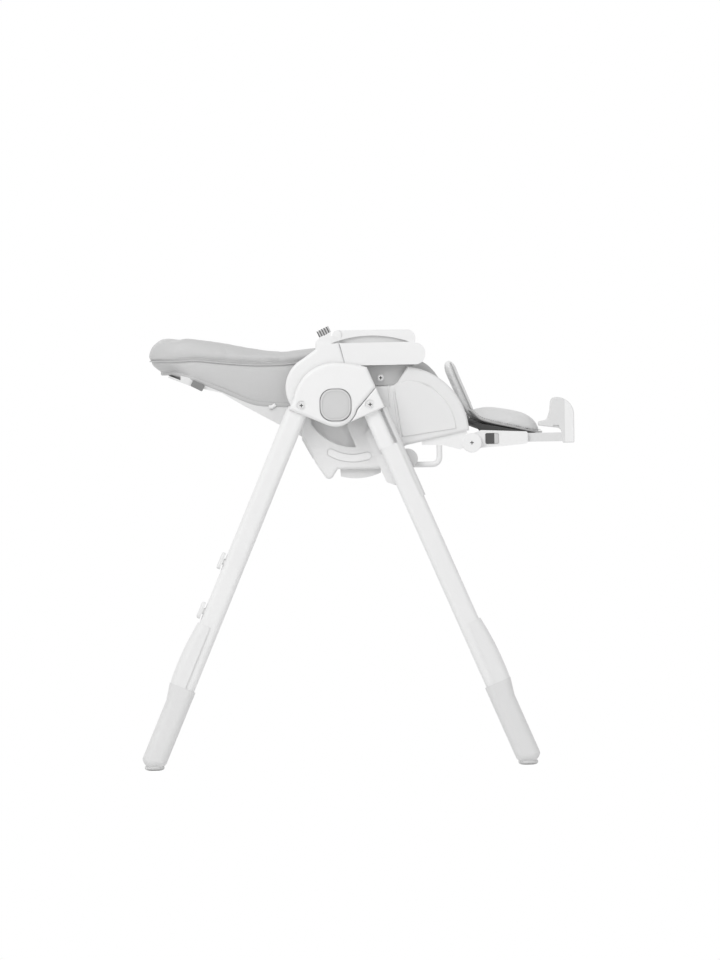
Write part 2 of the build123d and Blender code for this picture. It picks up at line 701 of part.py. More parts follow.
# Studs that hold the put-away tray, on the back of the rear legs
with BuildPart() as studs:
    for along in STUD_STATIONS:
        station = leg_section(REAR, along)
        back = station.origin + station.x_dir * (LEG_DEPTH / 2)
        root = back - station.x_dir * LEG_WALL
        with BuildSketch(Plane(origin=root, x_dir=station.z_dir, z_dir=station.x_dir)):
            Circle(STUD_STEM)
        extrude(amount=STUD_RISE + LEG_WALL)
        cap = back + station.x_dir * STUD_RISE
        with BuildSketch(Plane(origin=cap, x_dir=station.z_dir, z_dir=station.x_dir)):
            SlotOverall(STUD_LENGTH, STUD_WIDTH)
        extrude(amount=STUD_CAP)
    backs = studs.faces().group_by(Axis(station.origin, station.x_dir))[-1]
    fillet(backs.edges(), radius=STUD_ROUND)
    with BuildSketch(leg_section(REAR, TUBE_FOOT)):
        SlotOverall(LEG_DEPTH, LEG_WIDTH)
    extrude(amount=EAR_ALONG - TUBE_FOOT, mode=Mode.SUBTRACT)
save_both(studs.part, "tray_studs")

# Bucket: floor sheet bent along the seat, and two side walls that carry the back pivot
with BuildPart() as bucket:
    with BuildSketch(side(0)):
        with BuildLine():
            Polyline(*SEAT_FLOOR, *reversed(parallel(SEAT_FLOOR, BUCKET_WALL)), close=True)
        make_face()
    extrude(amount=BUCKET_HALF, both=True)
    with BuildSketch(side(BUCKET_IN)) as wall_face:
        with BuildLine():
            Polyline(*SEAT_FLOOR)
            ThreePointArc(SEAT_FLOOR[-1], (WING_MID[0] - BUCKET_WALL, WING_MID[1]), WING_TOP)
            Polyline(WING_TOP, (WALL_REAR, WING_TOP[1]), SEAT_FLOOR[0])
        make_face()
        with Locations(BACK_PIVOT):
            Circle(BACK_PIN + PIN_GAP, mode=Mode.SUBTRACT)
    extrude(amount=BUCKET_SIDE)
    with BuildSketch(side(BUCKET_HALF)):
        with Locations(BOSS_SPOT):
            Circle(BOSS_RADIUS)
            Circle(SCREW_SHANK + BORE_GAP, mode=Mode.SUBTRACT)
    extrude(amount=BOSS_LENGTH)
    mirror(about=Plane.XZ)
save(bucket.part, "seat_bucket")
save_both(screw(BOSS_SPOT, BUCKET_HALF + BOSS_LENGTH, BOSS_LENGTH), "seat_screws")

with BuildPart() as pan:
    with BuildSketch(side(0)):
        with Locations(((PAN_REAR + PAN_FRONT) / 2, PAN_LEVEL - PAN_THICK / 2)):
            Rectangle(PAN_FRONT - PAN_REAR, PAN_THICK)
    extrude(amount=BUCKET_IN - PAN_GAP, both=True)
save(pan.part, "seat_pan")

with BuildPart() as bottom_cover:
    with BuildSketch(side(0)):
        with BuildLine():
            Polyline(*COVER_LINE)
            ThreePointArc(COVER_LINE[-1], COVER_LOW, COVER_LINE[0])
        make_face()
    extrude(amount=COVER_HALF, both=True)
save(bottom_cover.part, "seat_bottom_cover")

# Side covers: hollow mouldings with the fan-shaped wing, a round recess and a bare inlay bed
with BuildPart() as side_cover:
    with BuildSketch(side(BUCKET_HALF)) as side_face:
        with BuildLine():
            FilletPolyline(*SIDE_LINE, radius=SIDE_RADII)
            ThreePointArc(WING_FOOT, WING_MID, WING_TOP)
        make_face()
    extrude(amount=SIDE_THICK)
    fillet(outward(side_cover).edges(), radius=SIDE_ROUND)
    with BuildSketch(side(SIDE_OUT)):
        with BuildLine():
            FilletPolyline(*PANEL_LINE, radius=PANEL_RADII)
            ThreePointArc(PANEL_LINE[-1], PANEL_MID, PANEL_LINE[0])
        make_face()
    extrude(amount=PANEL_RISE)
    fillet(outward(side_cover).edges(), radius=PANEL_ROUND)
    with BuildSketch(side(BUCKET_HALF)):
        add(side_face.sketch.faces())
        offset(amount=-SIDE_WALL, mode=Mode.REPLACE)
    extrude(amount=SIDE_THICK - RECESS_DEPTH - SIDE_WALL, mode=Mode.SUBTRACT)
    with BuildSketch(side(SIDE_OUT - RECESS_DEPTH)):
        with BuildLine():
            ThreePointArc(*RECESS_ARC)
            Polyline(
                RECESS_ARC[-1], RECESS_SIDE, (RECESS_SIDE[0], 0), (RECESS_ARC[0][0], 0), RECESS_ARC[0]
            )
        make_face()
    extrude(amount=SIDE_THICK, mode=Mode.SUBTRACT)
    with BuildSketch(side(SIDE_OUT - INLAY_DEPTH)):
        with BuildLine() as inlay_arc:
            ThreePointArc(*INLAY_ARC)
        SlotArc(inlay_arc.edges()[0], INLAY_HEIGHT)
    extrude(amount=INLAY_DEPTH, mode=Mode.SUBTRACT)
save_pair(side_cover.part, "seat_side")

with BuildPart() as inlay:
    with BuildSketch(side(SIDE_OUT - INLAY_DEPTH)):
        with BuildLine() as inlay_arc:
            ThreePointArc(*INLAY_ARC)
        SlotArc(inlay_arc.edges()[0], INLAY_HEIGHT - 2 * INLAY_GAP)
    extrude(amount=INLAY_DEPTH)
save_both(inlay.part, "side_inlays")

# Height carriages: a web inside the front leg, a shoe that wraps its tube and a round release
with BuildPart() as carriage:
    with BuildSketch(side(WEB_IN)):
        with BuildLine():
            FilletPolyline(*[leg_point(FRONT, *spot) for spot in WEB_LINE], radius=WEB_ROUND, close=True)
        make_face()
    extrude(amount=WEB_THICK)
    shoe_top = SHOE_FOOT + SHOE_LENGTH
    shoe_half = LEG_DEPTH / 2 + SHOE_GAP + SHOE_LIP
    shoe_box = (
        (shoe_half, SHOE_FOOT), (shoe_half, shoe_top), (-shoe_half, shoe_top), (-shoe_half, SHOE_FOOT),
    )
    with BuildSketch(side(WEB_OUT)):
        with BuildLine():
            Polyline(*[leg_point(FRONT, *spot) for spot in shoe_box], close=True)
        make_face()
    extrude(amount=LEG_Y - LEG_WIDTH / 2 - SHOE_GAP - WEB_OUT)
    with BuildSketch(leg_section(FRONT, WEB_LINE[0][1])):
        SlotOverall(LEG_DEPTH + 2 * (SHOE_GAP + SHOE_LIP), LEG_WIDTH + 2 * (SHOE_GAP + SHOE_LIP))
        SlotOverall(LEG_DEPTH + 2 * SHOE_GAP, LEG_WIDTH + 2 * SHOE_GAP, mode=Mode.SUBTRACT)
        with Locations((LEG_DEPTH / 2 - LIP_WRAP, 0)):
            Rectangle(LEG_DEPTH, 2 * LEG_DEPTH, align=(Align.MIN, Align.CENTER), mode=Mode.INTERSECT)
    extrude(amount=WEB_LINE[1][1] - WEB_LINE[0][1])
    with BuildSketch(side(WEB_IN + HEIGHT_FLOOR)):
        for travel in (0, HEIGHT_STROKE):
            with Locations(leg_point(FRONT, HEIGHT_ACROSS - travel, HEIGHT_ALONG)):
                Circle(HEIGHT_RADIUS + HEIGHT_GAP)
    extrude(amount=HEIGHT_THICK + 2 * HEIGHT_PLAY, mode=Mode.SUBTRACT)
save_pair(carriage.part, "height_carriage")

with BuildPart() as height_button:
    with BuildSketch(side(WEB_IN + HEIGHT_FLOOR + HEIGHT_PLAY)):
        with Locations(leg_point(FRONT, HEIGHT_ACROSS, HEIGHT_ALONG)):
            Circle(HEIGHT_RADIUS)
    extrude(amount=HEIGHT_THICK)
    fillet(outward(height_button).edges(), radius=HEIGHT_ROUND)
save_pair(height_button.part, "height_button")

# Under-seat braces and the brackets that carry the legrest
def wing_base(x):
    """Height of the straight lower edge of a wing at x."""
    (x0, z0), (x1, z1) = SIDE_LINE[-2], SIDE_LINE[-1]
    return z0 + (z1 - z0) * (x - x0) / (x1 - x0)


with BuildPart() as rest_bracket:
    with BuildSketch(side(BRACKET_Y)):
        with BuildLine():
            Polyline(
                (BRACKET_TAIL, wing_base(BRACKET_TAIL)),
                (BRACKET_TAIL, BRACKET_WAIST[1]),
                BRACKET_WAIST,
                BRACKET_LOW,
                LEG_PIVOT,
                (BRACKET_NOSE, wing_base(BRACKET_NOSE)),
                close=True,
            )
        make_face()
        with Locations(LEG_PIVOT):
            Circle(LEG_HUB)
            Circle(LEG_PIN + PIN_GAP, mode=Mode.SUBTRACT)
    extrude(amount=BRACKET_THICK)
save_both(rest_bracket.part, "legrest_brackets")

with BuildPart() as brace:
    with BuildLine(side(BRACE_Y)) as brace_path:
        FilletPolyline(
            (BRACE_REAR, BRACE_LEVEL),
            (BRACE_FRONT, BRACE_LEVEL),
            (BRACE_FRONT, BRACKET_WAIST[1] - 2 * PAN_GAP),
            radius=BRACE_BEND,
        )
    with BuildSketch(Plane(origin=brace_path.line @ 0, z_dir=brace_path.line % 0)):
        Circle(BRACE_ROD / 2)
    sweep()
save_both(brace.part, "seat_braces")

with BuildPart() as rest_pivot:
    with BuildSketch(side(REST_ARM_Y)):
        with Locations(LEG_PIVOT):
            Circle(LEG_PIN)
    extrude(amount=BRACKET_Y + BRACKET_THICK - REST_ARM_Y)
    with BuildSketch(side(BRACKET_Y + BRACKET_THICK)):
        with Locations(LEG_PIVOT):
            Circle(LEG_HUB)
    extrude(amount=LEG_CAP)
    fillet(outward(rest_pivot).edges(), radius=LEG_CAP_ROUND)
    with BuildSketch(side(BRACKET_Y + BRACKET_THICK + LEG_CAP)):
        with Locations(LEG_PIVOT):
            Rectangle(SCREW_CROSS, SCREW_SLOT)
            Rectangle(SCREW_SLOT, SCREW_CROSS)
    extrude(amount=-SCREW_SLOT_DEPTH, mode=Mode.SUBTRACT)
save_both(rest_pivot.part, "legrest_pivots")

# Shoulders on the bucket walls and armrests that lift about the top of their seam
knuckle_in = ARM_Y + LUG_WIDTH
knuckle_out = ARM_Y + RAIL_WIDTH - LUG_WIDTH + KNUCKLE_GAP
arm_lugs = ((ARM_Y, knuckle_in - KNUCKLE_GAP), (knuckle_out + KNUCKLE_GAP, ARM_Y + RAIL_WIDTH))


def drum(centre, radius, y_in, y_out):
    """Round bar along Y between two distances to the child's right."""
    with BuildPart() as bar:
        with BuildSketch(side(y_in)):
            with Locations(centre):
                Circle(radius)
        extrude(amount=y_out - y_in)
    return bar.part


def scoop():
    """Tool body of the lens-shaped hollow along the outer face of a tray rail."""
    with BuildPart() as tool:
        with BuildSketch(side(ARM_Y + RAIL_WIDTH - SCOOP_DEPTH)):
            with BuildLine():
                ThreePointArc(*SCOOP_ARC)
                Line(SCOOP_ARC[-1], SCOOP_ARC[0])
            make_face()
        extrude(amount=ARM_OUTER - ARM_Y)
    return tool.part


def seam_side(gap):
    """Lower end, bend and upper end of the seam, moved back from the armrest by a gap."""
    return ((SEAM_FOOT[0] - gap, SEAM_FOOT[1]), (ARM_PIVOT[0] - gap, ARM_PIVOT[1]))


with BuildPart() as shoulder:
    with BuildSketch(side(BUCKET_HALF)):
        with BuildLine():
            ThreePointArc(*SHOULDER_BACK)
            Polyline(*SHOULDER_LINE)
            Polyline(
                SHOULDER_LINE[-1],
                seam_side(SEAM_GAP)[1],
                seam_side(SEAM_GAP)[0],
                (SHOULDER_FRONT - SEAM_GAP, SHOULDER_BASE),
                (SHOULDER_BACK[0][0] + SHOULDER_FRONT, SHOULDER_BASE),
                SHOULDER_BACK[0],
            )
        make_face()
    extrude(amount=ARM_OUTER - BUCKET_HALF)
    fillet(outward(shoulder).edges(), radius=SHOULDER_ROUND)
    with BuildSketch(side(ARM_Y + RAIL_WIDTH)):
        with Locations((0, ARM_LEVEL)):
            Rectangle(2 * ARM_FRONT, RAIL_TOP, align=(Align.CENTER, Align.MIN))
    extrude(amount=ARM_OUTER, mode=Mode.SUBTRACT)
    add(drum(ARM_PIVOT, KNUCKLE + ARM_GROOVE, 0, ARM_OUTER), mode=Mode.SUBTRACT)
    for y_in, y_out in arm_lugs:
        add(drum(ARM_PIVOT, KNUCKLE, y_in, y_out))
        with BuildSketch(side(y_in)):
            with BuildLine():
                Polyline(ARM_PIVOT, seam_side(SEAM_GAP)[0], SHOULDER_LINE[2], SHOULDER_LINE[3], close=True)
            make_face()
        extrude(amount=y_out - y_in)
    add(drum(ARM_PIVOT, ARM_PIN + PIN_GAP, 0, ARM_OUTER), mode=Mode.SUBTRACT)
    add(scoop(), mode=Mode.SUBTRACT)
    with BuildSketch(tilted(ARM_Y + RAIL_WIDTH / 2, RIB_SPOT, RIB_TILT)):
        with Locations((-RIB_STROKE / 2, 0)):
            Rectangle(RIB_STEM + RIB_STROKE + 2 * RIB_PLAY, 2 * (RIB_STEM + RIB_PLAY))
    extrude(amount=RIB_STEM / 2 + RIB_PLAY, both=True, mode=Mode.SUBTRACT)
save_pair(shoulder.part, "shoulder")

with BuildPart() as armrest:
    with BuildSketch(side(ARM_Y)):
        with BuildLine():
            FilletPolyline(
                seam_side(0)[1], SEAM_FOOT, (ARM_FRONT, ARM_BASE), (ARM_FRONT, ARM_LEVEL),
                (SEAM_FOOT[0], ARM_LEVEL), radius=(0, ARM_NOSE, ARM_NOSE),
            )
            Line((SEAM_FOOT[0], ARM_LEVEL), seam_side(0)[1])
        make_face()
    extrude(amount=ARM_OUTER - ARM_Y)
    with BuildSketch(side(ARM_Y)):
        with BuildLine():
            FilletPolyline(
                ARM_PIVOT,
                (ARM_PIVOT[0], RAIL_TOP),
                (RAIL_FRONT, RAIL_TOP),
                (RAIL_FRONT, ARM_LEVEL - ARM_ROUND),
                SEAM_FOOT,
                radius=(0, RAIL_CORNER, 0),
            )
            Line(SEAM_FOOT, ARM_PIVOT)
        make_face()
    extrude(amount=RAIL_WIDTH)
    add(drum(ARM_PIVOT, KNUCKLE, knuckle_in, knuckle_out))
    for y_in, y_out in arm_lugs:
        room = drum(ARM_PIVOT, KNUCKLE + KNUCKLE_GAP, y_in - KNUCKLE_GAP, y_out + KNUCKLE_GAP)
        add(room, mode=Mode.SUBTRACT)
    add(drum(ARM_PIVOT, ARM_PIN + PIN_GAP, 0, ARM_OUTER), mode=Mode.SUBTRACT)
    add(scoop(), mode=Mode.SUBTRACT)
save_pair(armrest.part, "armrest")
save_both(drum(ARM_PIVOT, ARM_PIN, ARM_Y, ARM_Y + RAIL_WIDTH), "armrest_pins")

with BuildPart() as rib_button:
    with BuildSketch(tilted(ARM_Y + RAIL_WIDTH / 2, RIB_SPOT, RIB_TILT)):
        with Locations((0, RIB_PLAY)):
            Rectangle(RIB_LENGTH, RIB_HEIGHT, align=(Align.CENTER, Align.MIN))
        with Locations((0, RIB_PLAY + RIB_HEIGHT)):
            with GridLocations(RIB_LENGTH / RIB_COUNT, 0, RIB_COUNT, 1):
                Rectangle(RIB_GROOVE, 2 * RIB_GROOVE, mode=Mode.SUBTRACT)
    extrude(amount=RIB_WIDTH / 2, both=True)
    with BuildSketch(tilted(ARM_Y + RAIL_WIDTH / 2, RIB_SPOT, RIB_TILT)):
        Rectangle(RIB_STEM, 2 * RIB_STEM)
    extrude(amount=RIB_STEM / 2, both=True)
save_pair(rib_button.part, "armrest_button")

# Backrest: shell whose foot rolls about the pivot, padded liner, handle bar under the shell
reach = (BACK_LOW[-1][0] - BACK_PIVOT[0], BACK_LOW[-1][1] - BACK_PIVOT[1])
roll_start = atan2(reach[1], reach[0]) + acos(BACK_ROLL / hypot(*reach))
roll_start += 2 * pi if roll_start < 0 else 0
back_line = (*BACK_LOW, polar(BACK_ROLL, roll_start, BACK_PIVOT))


def head_plan(half, reach, corner):
    """Upright tool body whose plan has two round corners at the head of the back."""
    with BuildPart() as tool:
        with BuildSketch(Plane(origin=(HUB_X, 0, HUB_Z - BACK_REACH))):
            with Locations((reach, 0)):
                Rectangle(2 * BACK_REACH, 2 * half, align=(Align.MIN, Align.CENTER))
        extrude(amount=2 * BACK_REACH)
        fillet(tool.edges().filter_by(Axis.Z).group_by(Axis.X)[0], radius=corner)
    return tool.part


def roll(radius):
    """Three points of the round foot of the back at a radius about its pivot."""
    turns = (roll_start, (roll_start + ROLL_END) / 2, ROLL_END)
    return [polar(radius, turn, BACK_PIVOT) for turn in turns]


cheek_top = [(x, z - HEM_DROP) for x, z in BACK_HEM]
with BuildPart() as back_shell:
    inner_roll = roll(BACK_ROLL - BACK_WALL)
    with BuildSketch(side(0)):
        with BuildLine():
            Polyline(*back_line)
            ThreePointArc(*roll(BACK_ROLL))
            Line(roll(BACK_ROLL)[-1], inner_roll[-1])
            ThreePointArc(*reversed(inner_roll))
            Polyline(inner_roll[0], *reversed(parallel(back_line, BACK_WALL)[:-1]), back_line[0])
        make_face()
    extrude(amount=BACK_HALF, both=True)
    for y in (BACK_HALF - BACK_CHEEK, -BACK_HALF):
        with BuildSketch(side(y)):
            with BuildLine():
                Polyline(cheek_top[0], *back_line, BACK_PIVOT, cheek_top[-1])
                Spline(*cheek_top)
            make_face()
            with Locations(BACK_PIVOT):
                Circle(BACK_ROLL)
                Circle(BACK_PIN + PIN_GAP, mode=Mode.SUBTRACT)
        extrude(amount=BACK_CHEEK)
    add(head_plan(BACK_HALF, cheek_top[0][0], SHELL_HEAD), mode=Mode.INTERSECT)
save(back_shell.part, "backrest_shell")
save_both(drum(BACK_PIVOT, BACK_PIN, BACK_HALF - BACK_CHEEK, BUCKET_HALF), "recline_pins")

with BuildPart() as back_pad:
    with BuildSketch(side(0)):
        with BuildLine():
            Spline(*BACK_HEM)
            Line(BACK_HEM[-1], BACK_NOSE)
            Line(BACK_NOSE, BACK_TOP[-1])
            Spline(*reversed(BACK_TOP))
            Polyline(BACK_TOP[0], BACK_CHIN, BACK_HEM[0])
        make_face()
    extrude(amount=PAD_HALF, both=True)
    fillet(back_pad.edges().filter_by(Axis.Y).sort_by(Axis.X)[0:2], radius=PAD_ROUND)
    fillet(back_pad.faces().sort_by(Axis.Y)[0].edges().sort_by(Axis.Z)[-1], radius=PAD_ROUND)
    fillet(back_pad.faces().sort_by(Axis.Y)[-1].edges().sort_by(Axis.Z)[-1], radius=PAD_ROUND)
    add(head_plan(PAD_HALF, BACK_TOP[0][0], PAD_HEAD), mode=Mode.INTERSECT)
    bed = parallel(back_line, BACK_WALL + PAD_GAP)
    with BuildSketch(side(0)):
        with BuildLine():
            Polyline(*bed[1:], BACK_DISH[-1], *reversed(BACK_HEM[1:-1]), close=True)
        make_face()
    extrude(amount=BACK_HALF - BACK_CHEEK - PAD_GAP, both=True)
    with BuildSketch(side(0)):
        with BuildLine():
            Polyline(
                *BACK_DISH,
                (0, BACK_DISH[-1][1]),
                (0, DISH_CEILING),
                (BACK_DISH[0][0], DISH_CEILING),
                close=True,
            )
        make_face()
    extrude(amount=PAD_HALF - PAD_BOLSTER, both=True, mode=Mode.SUBTRACT)
    for edge in (PAD_HALF, SEAM_DEPTH - PAD_HALF):
        with BuildSketch(side(edge - SEAM_DEPTH)):
            with BuildLine():
                Polyline(
                    *parallel(BACK_SEAM, SEAM_WIDTH / 2),
                    *reversed(parallel(BACK_SEAM, -SEAM_WIDTH / 2)),
                    close=True,
                )
            make_face()
        extrude(amount=SEAM_DEPTH, mode=Mode.SUBTRACT)
save(back_pad.part, "backrest_pad")

with BuildPart() as handle:
    with BuildSketch(tilted(0, HANDLE_SPOT, HANDLE_TILT)):
        RectangleRounded(HANDLE_LENGTH, HANDLE_HEIGHT, HANDLE_ROUND)
    extrude(amount=PAD_HALF - PAD_GAP, both=True)
    with BuildSketch(side(0)):
        with BuildLine():
            Polyline(*parallel(back_line, -HANDLE_PLAY), BACK_PIVOT, *reversed(BACK_TOP), close=True)
        make_face()
    extrude(amount=BACK_HALF + HANDLE_PLAY, both=True, mode=Mode.SUBTRACT)
save(handle.part, "recline_handle")

# Seat pad with low side bolsters, crotch guard on its post
with BuildPart() as seat_pad:
    with BuildSketch(side(0)):
        with Locations((SEAT_PAD_REAR, PAN_LEVEL + PAD_GAP)):
            Rectangle(SEAT_PAD_FRONT - SEAT_PAD_REAR, SEAT_PAD_THICK, align=Align.MIN)
    extrude(amount=SEAT_PAD_HALF, both=True)
    fillet(seat_pad.edges().filter_by(Axis.Z), radius=2 * SEAT_PAD_ROUND)
    fillet(seat_pad.faces().sort_by(Axis.Z)[-1].edges(), radius=SEAT_PAD_ROUND)
    for y in (SEAT_PAD_HALF - SEAT_BOLSTER, -SEAT_PAD_HALF):
        with BuildSketch(side(y)):
            with BuildLine():
                FilletPolyline(*SEAT_BOLSTER_LINE, radius=SEAT_PAD_ROUND, close=True)
            make_face()
        extrude(amount=SEAT_BOLSTER)
save(seat_pad.part, "seat_pad")

with BuildPart() as post:
    with BuildSketch(side(0)):
        with BuildLine():
            Polyline(
                *parallel(POST_LINE, POST_THICK / 2),
                *reversed(parallel(POST_LINE, -POST_THICK / 2)),
                close=True,
            )
        make_face()
    extrude(amount=POST_HALF, both=True)
save(post.part, "crotch_post")

with BuildPart() as guard:
    with BuildSketch(side(0)):
        with BuildLine():
            FilletPolyline(*GUARD_LINE, radius=GUARD_RADII, close=True)
        make_face()
    extrude(amount=GUARD_HALF, both=True)
    fillet(guard.faces().sort_by(Axis.Y)[0].edges(), radius=GUARD_ROUND)
    fillet(guard.faces().sort_by(Axis.Y)[-1].edges(), radius=GUARD_ROUND)
    with BuildSketch(side(0)):
        with BuildLine():
            Polyline(
                *parallel(POST_LINE, POST_THICK / 2 + POST_GAP),
                *reversed(parallel(POST_LINE, -POST_THICK / 2 - POST_GAP)),
                close=True,
            )
        make_face()
    extrude(amount=POST_HALF + POST_GAP, both=True, mode=Mode.SUBTRACT)
save(guard.part, "crotch_pad")

# Legrest: arms and board in one moulding, pad, release buttons
with BuildPart() as rest_frame:
    with BuildSketch(side(REST_ARM_Y)):
        with BuildLine():
            FilletPolyline(*REST_ARM_LINE, radius=REST_ROUND, close=True)
        make_face()
        with Locations(LEG_PIVOT):
            Circle(LEG_HUB)
            Circle(LEG_PIN + PIN_GAP, mode=Mode.SUBTRACT)
    extrude(amount=REST_ARM_THICK)
    with BuildSketch(side(REST_ARM_Y + REST_ARM_THICK - WINDOW_DEPTH)):
        with Locations(WINDOW_SPOT):
            RectangleRounded(WINDOW_LENGTH, WINDOW_HEIGHT, WINDOW_CORNER)
    extrude(amount=WINDOW_DEPTH, mode=Mode.SUBTRACT)
    with BuildSketch(side(ROD_Y - ROD_GAP)):
        with Locations((ROD_REAR - ROD_GAP, ROD_LEVEL)):
            Rectangle(ROD_REAR, ROD_HEIGHT + 2 * ROD_GAP, align=(Align.MIN, Align.CENTER))
    extrude(amount=ROD_THICK + 2 * ROD_GAP, mode=Mode.SUBTRACT)
    mirror(about=Plane.XZ)
    under = parallel(BOARD_LINE, -BOARD_WALL)
    with BuildSketch(side(0)):
        with BuildLine():
            Polyline(*BOARD_LINE, *reversed(under), close=True)
        make_face()
    extrude(amount=REST_ARM_Y, both=True)
    for y in (REST_ARM_Y - BOARD_WALL, -REST_ARM_Y):
        with BuildSketch(side(y)):
            with BuildLine():
                Polyline(*BOARD_LINE, (REST_ARM_END, ROD_LEVEL), (BOARD_RIB, ROD_LEVEL), close=True)
            make_face()
        extrude(amount=BOARD_WALL)
save(rest_frame.part, "legrest_frame")

with BuildPart() as rest_pad:
    with BuildSketch(side(0)):
        with BuildLine():
            Spline(*REST_PAD_TOP)
            bed = parallel(BOARD_LINE, PAD_GAP)
            Polyline(REST_PAD_TOP[-1], bed[1], bed[0], REST_PAD_TOP[0])
        make_face()
    extrude(amount=REST_PAD_HALF, both=True)
    fillet(rest_pad.edges().filter_by(Axis.Y).group_by(Axis.X)[0], radius=REST_PAD_HEEL)
    fillet(rest_pad.faces().sort_by(Axis.Y)[0].edges().sort_by(Axis.Z)[-1], radius=REST_PAD_ROUND)
    fillet(rest_pad.faces().sort_by(Axis.Y)[-1].edges().sort_by(Axis.Z)[-1], radius=REST_PAD_ROUND)
save(rest_pad.part, "legrest_pad")

with BuildPart() as rest_button:
    with BuildSketch(side(REST_ARM_Y + REST_ARM_THICK - WINDOW_DEPTH + REST_STROKE + REST_PLAY)):
        with Locations(WINDOW_SPOT):
            RectangleRounded(
                WINDOW_LENGTH - 2 * REST_PLAY, WINDOW_HEIGHT - 2 * REST_PLAY, WINDOW_CORNER - REST_PLAY
            )
    extrude(amount=WINDOW_DEPTH - REST_STROKE - REST_PLAY + REST_PROUD)
save_pair(rest_button.part, "legrest_button")

with BuildPart() as foot_plate:
    with BuildSketch(side(CHEEK_Y)):
        with BuildLine():
            FilletPolyline(*CHEEK_LINE, radius=CHEEK_RADII, close=True)
        make_face()
    extrude(amount=CHEEK_THICK)
    fillet(outward(foot_plate).edges(), radius=CHEEK_ROUND)
    with BuildSketch(side(CHEEK_Y + CHEEK_THICK)):
        with Locations(CHEEK_HOLE):
            RectangleRounded(*CHEEK_HOLE_SIZE, CHEEK_HOLE_CORNER)
    extrude(amount=-CHEEK_HOLE_DEPTH, mode=Mode.SUBTRACT)
    with BuildSketch(side(ROD_Y)):
        with Locations((ROD_REAR, ROD_LEVEL)):
            Rectangle(CHEEK_LINE[-3][0] - ROD_REAR, ROD_HEIGHT, align=(Align.MIN, Align.CENTER))
    extrude(amount=ROD_THICK)
    mirror(about=Plane.XZ)
    with BuildSketch(side(0)):
        with BuildLine():
            Polyline(*PLATE_LINE, *reversed(parallel(PLATE_LINE, -PLATE_THICK)), close=True)
        make_face()
    extrude(amount=CHEEK_Y, both=True)
save(foot_plate.part, "foot_plate")
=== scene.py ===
"""Looks of a folding baby high chair: padded covers, piping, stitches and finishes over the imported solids."""
import json
import logging
from dataclasses import dataclass, replace
from enum import Enum
from math import cos, pi, radians, sin

import bmesh
import bpy
import numpy as np
from mathutils import Matrix, Vector

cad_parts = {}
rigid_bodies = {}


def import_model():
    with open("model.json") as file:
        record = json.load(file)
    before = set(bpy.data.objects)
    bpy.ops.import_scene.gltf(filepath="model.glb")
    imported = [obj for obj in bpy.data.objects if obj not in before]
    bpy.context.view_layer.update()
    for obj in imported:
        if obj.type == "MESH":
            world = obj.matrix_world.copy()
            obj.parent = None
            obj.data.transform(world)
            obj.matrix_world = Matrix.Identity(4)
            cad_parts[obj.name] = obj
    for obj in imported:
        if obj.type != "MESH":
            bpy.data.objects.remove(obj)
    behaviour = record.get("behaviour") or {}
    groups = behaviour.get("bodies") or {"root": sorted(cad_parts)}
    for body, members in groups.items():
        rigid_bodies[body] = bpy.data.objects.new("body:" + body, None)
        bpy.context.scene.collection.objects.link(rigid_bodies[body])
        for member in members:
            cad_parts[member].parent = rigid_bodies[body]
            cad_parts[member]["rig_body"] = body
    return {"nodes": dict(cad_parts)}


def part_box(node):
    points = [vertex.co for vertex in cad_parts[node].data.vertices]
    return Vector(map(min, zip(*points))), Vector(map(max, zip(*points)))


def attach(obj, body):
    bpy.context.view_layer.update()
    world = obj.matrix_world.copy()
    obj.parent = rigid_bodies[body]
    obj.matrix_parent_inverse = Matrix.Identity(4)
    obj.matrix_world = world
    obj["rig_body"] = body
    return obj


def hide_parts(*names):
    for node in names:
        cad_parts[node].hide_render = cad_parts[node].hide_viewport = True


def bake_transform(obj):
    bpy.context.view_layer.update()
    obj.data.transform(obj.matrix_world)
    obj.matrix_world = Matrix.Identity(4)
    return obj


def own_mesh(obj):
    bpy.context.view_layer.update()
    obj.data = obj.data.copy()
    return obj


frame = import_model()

LOG = logging.getLogger("high_chair")
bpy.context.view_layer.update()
MM = 0.001
# The hub axis, in millimetres: the shapes below are all given from it.
HUB = np.array([-40.0, 0.0, 700.0])
# Points of a closed form that are nearer than this, in metres, are one point.
WELD = 2e-5
ACROSS = (0, 1, 0)
Tree = bpy.types.NodeTree
Socket = bpy.types.NodeSocket


class Side(Enum):
    """The child's right, towards the camera, and the child's left."""

    RIGHT = -1
    LEFT = 1

    @property
    def tag(self) -> str:
        """Ending of the names of this side's pieces."""
        return self.name.lower()


class Grain(Enum):
    """Surface patterns that the finishes share."""

    MOULDED = "moulded_grain"
    POWDER = "powder_coat_peel"
    VINYL = "vinyl_pebble"
    DRAWN = "drawn_metal"


def linear(level: float) -> float:
    """Linear value of a display grey level from 0 to 255."""
    share = level / 255.0
    return share / 12.92 if share <= 0.04045 else ((share + 0.055) / 1.055) ** 2.4


def spline_weights(knots: int, count: int) -> np.ndarray:
    """Weights of a smooth curve through its knots: each stretch is a Catmull-Rom cubic of four knots.

    Args:
        knots: number of points the curve goes through.
        count: number of samples, even in knot number.

    Returns:
        Array of count rows and knots columns.
    """
    place = np.linspace(0, knots - 1, count)
    start = np.minimum(place.astype(int), knots - 2)
    f = (place - start)[:, None]
    eye = np.eye(knots)
    ends = np.vstack([2 * eye[0] - eye[1], eye, 2 * eye[-1] - eye[-2]])
    a, b, c, d = (ends[start + k] for k in range(4))
    return 0.5 * (2 * b + (c - a) * f + (2 * a - 5 * b + 4 * c - d) * f**2 + (3 * b - a - 3 * c + d) * f**3)


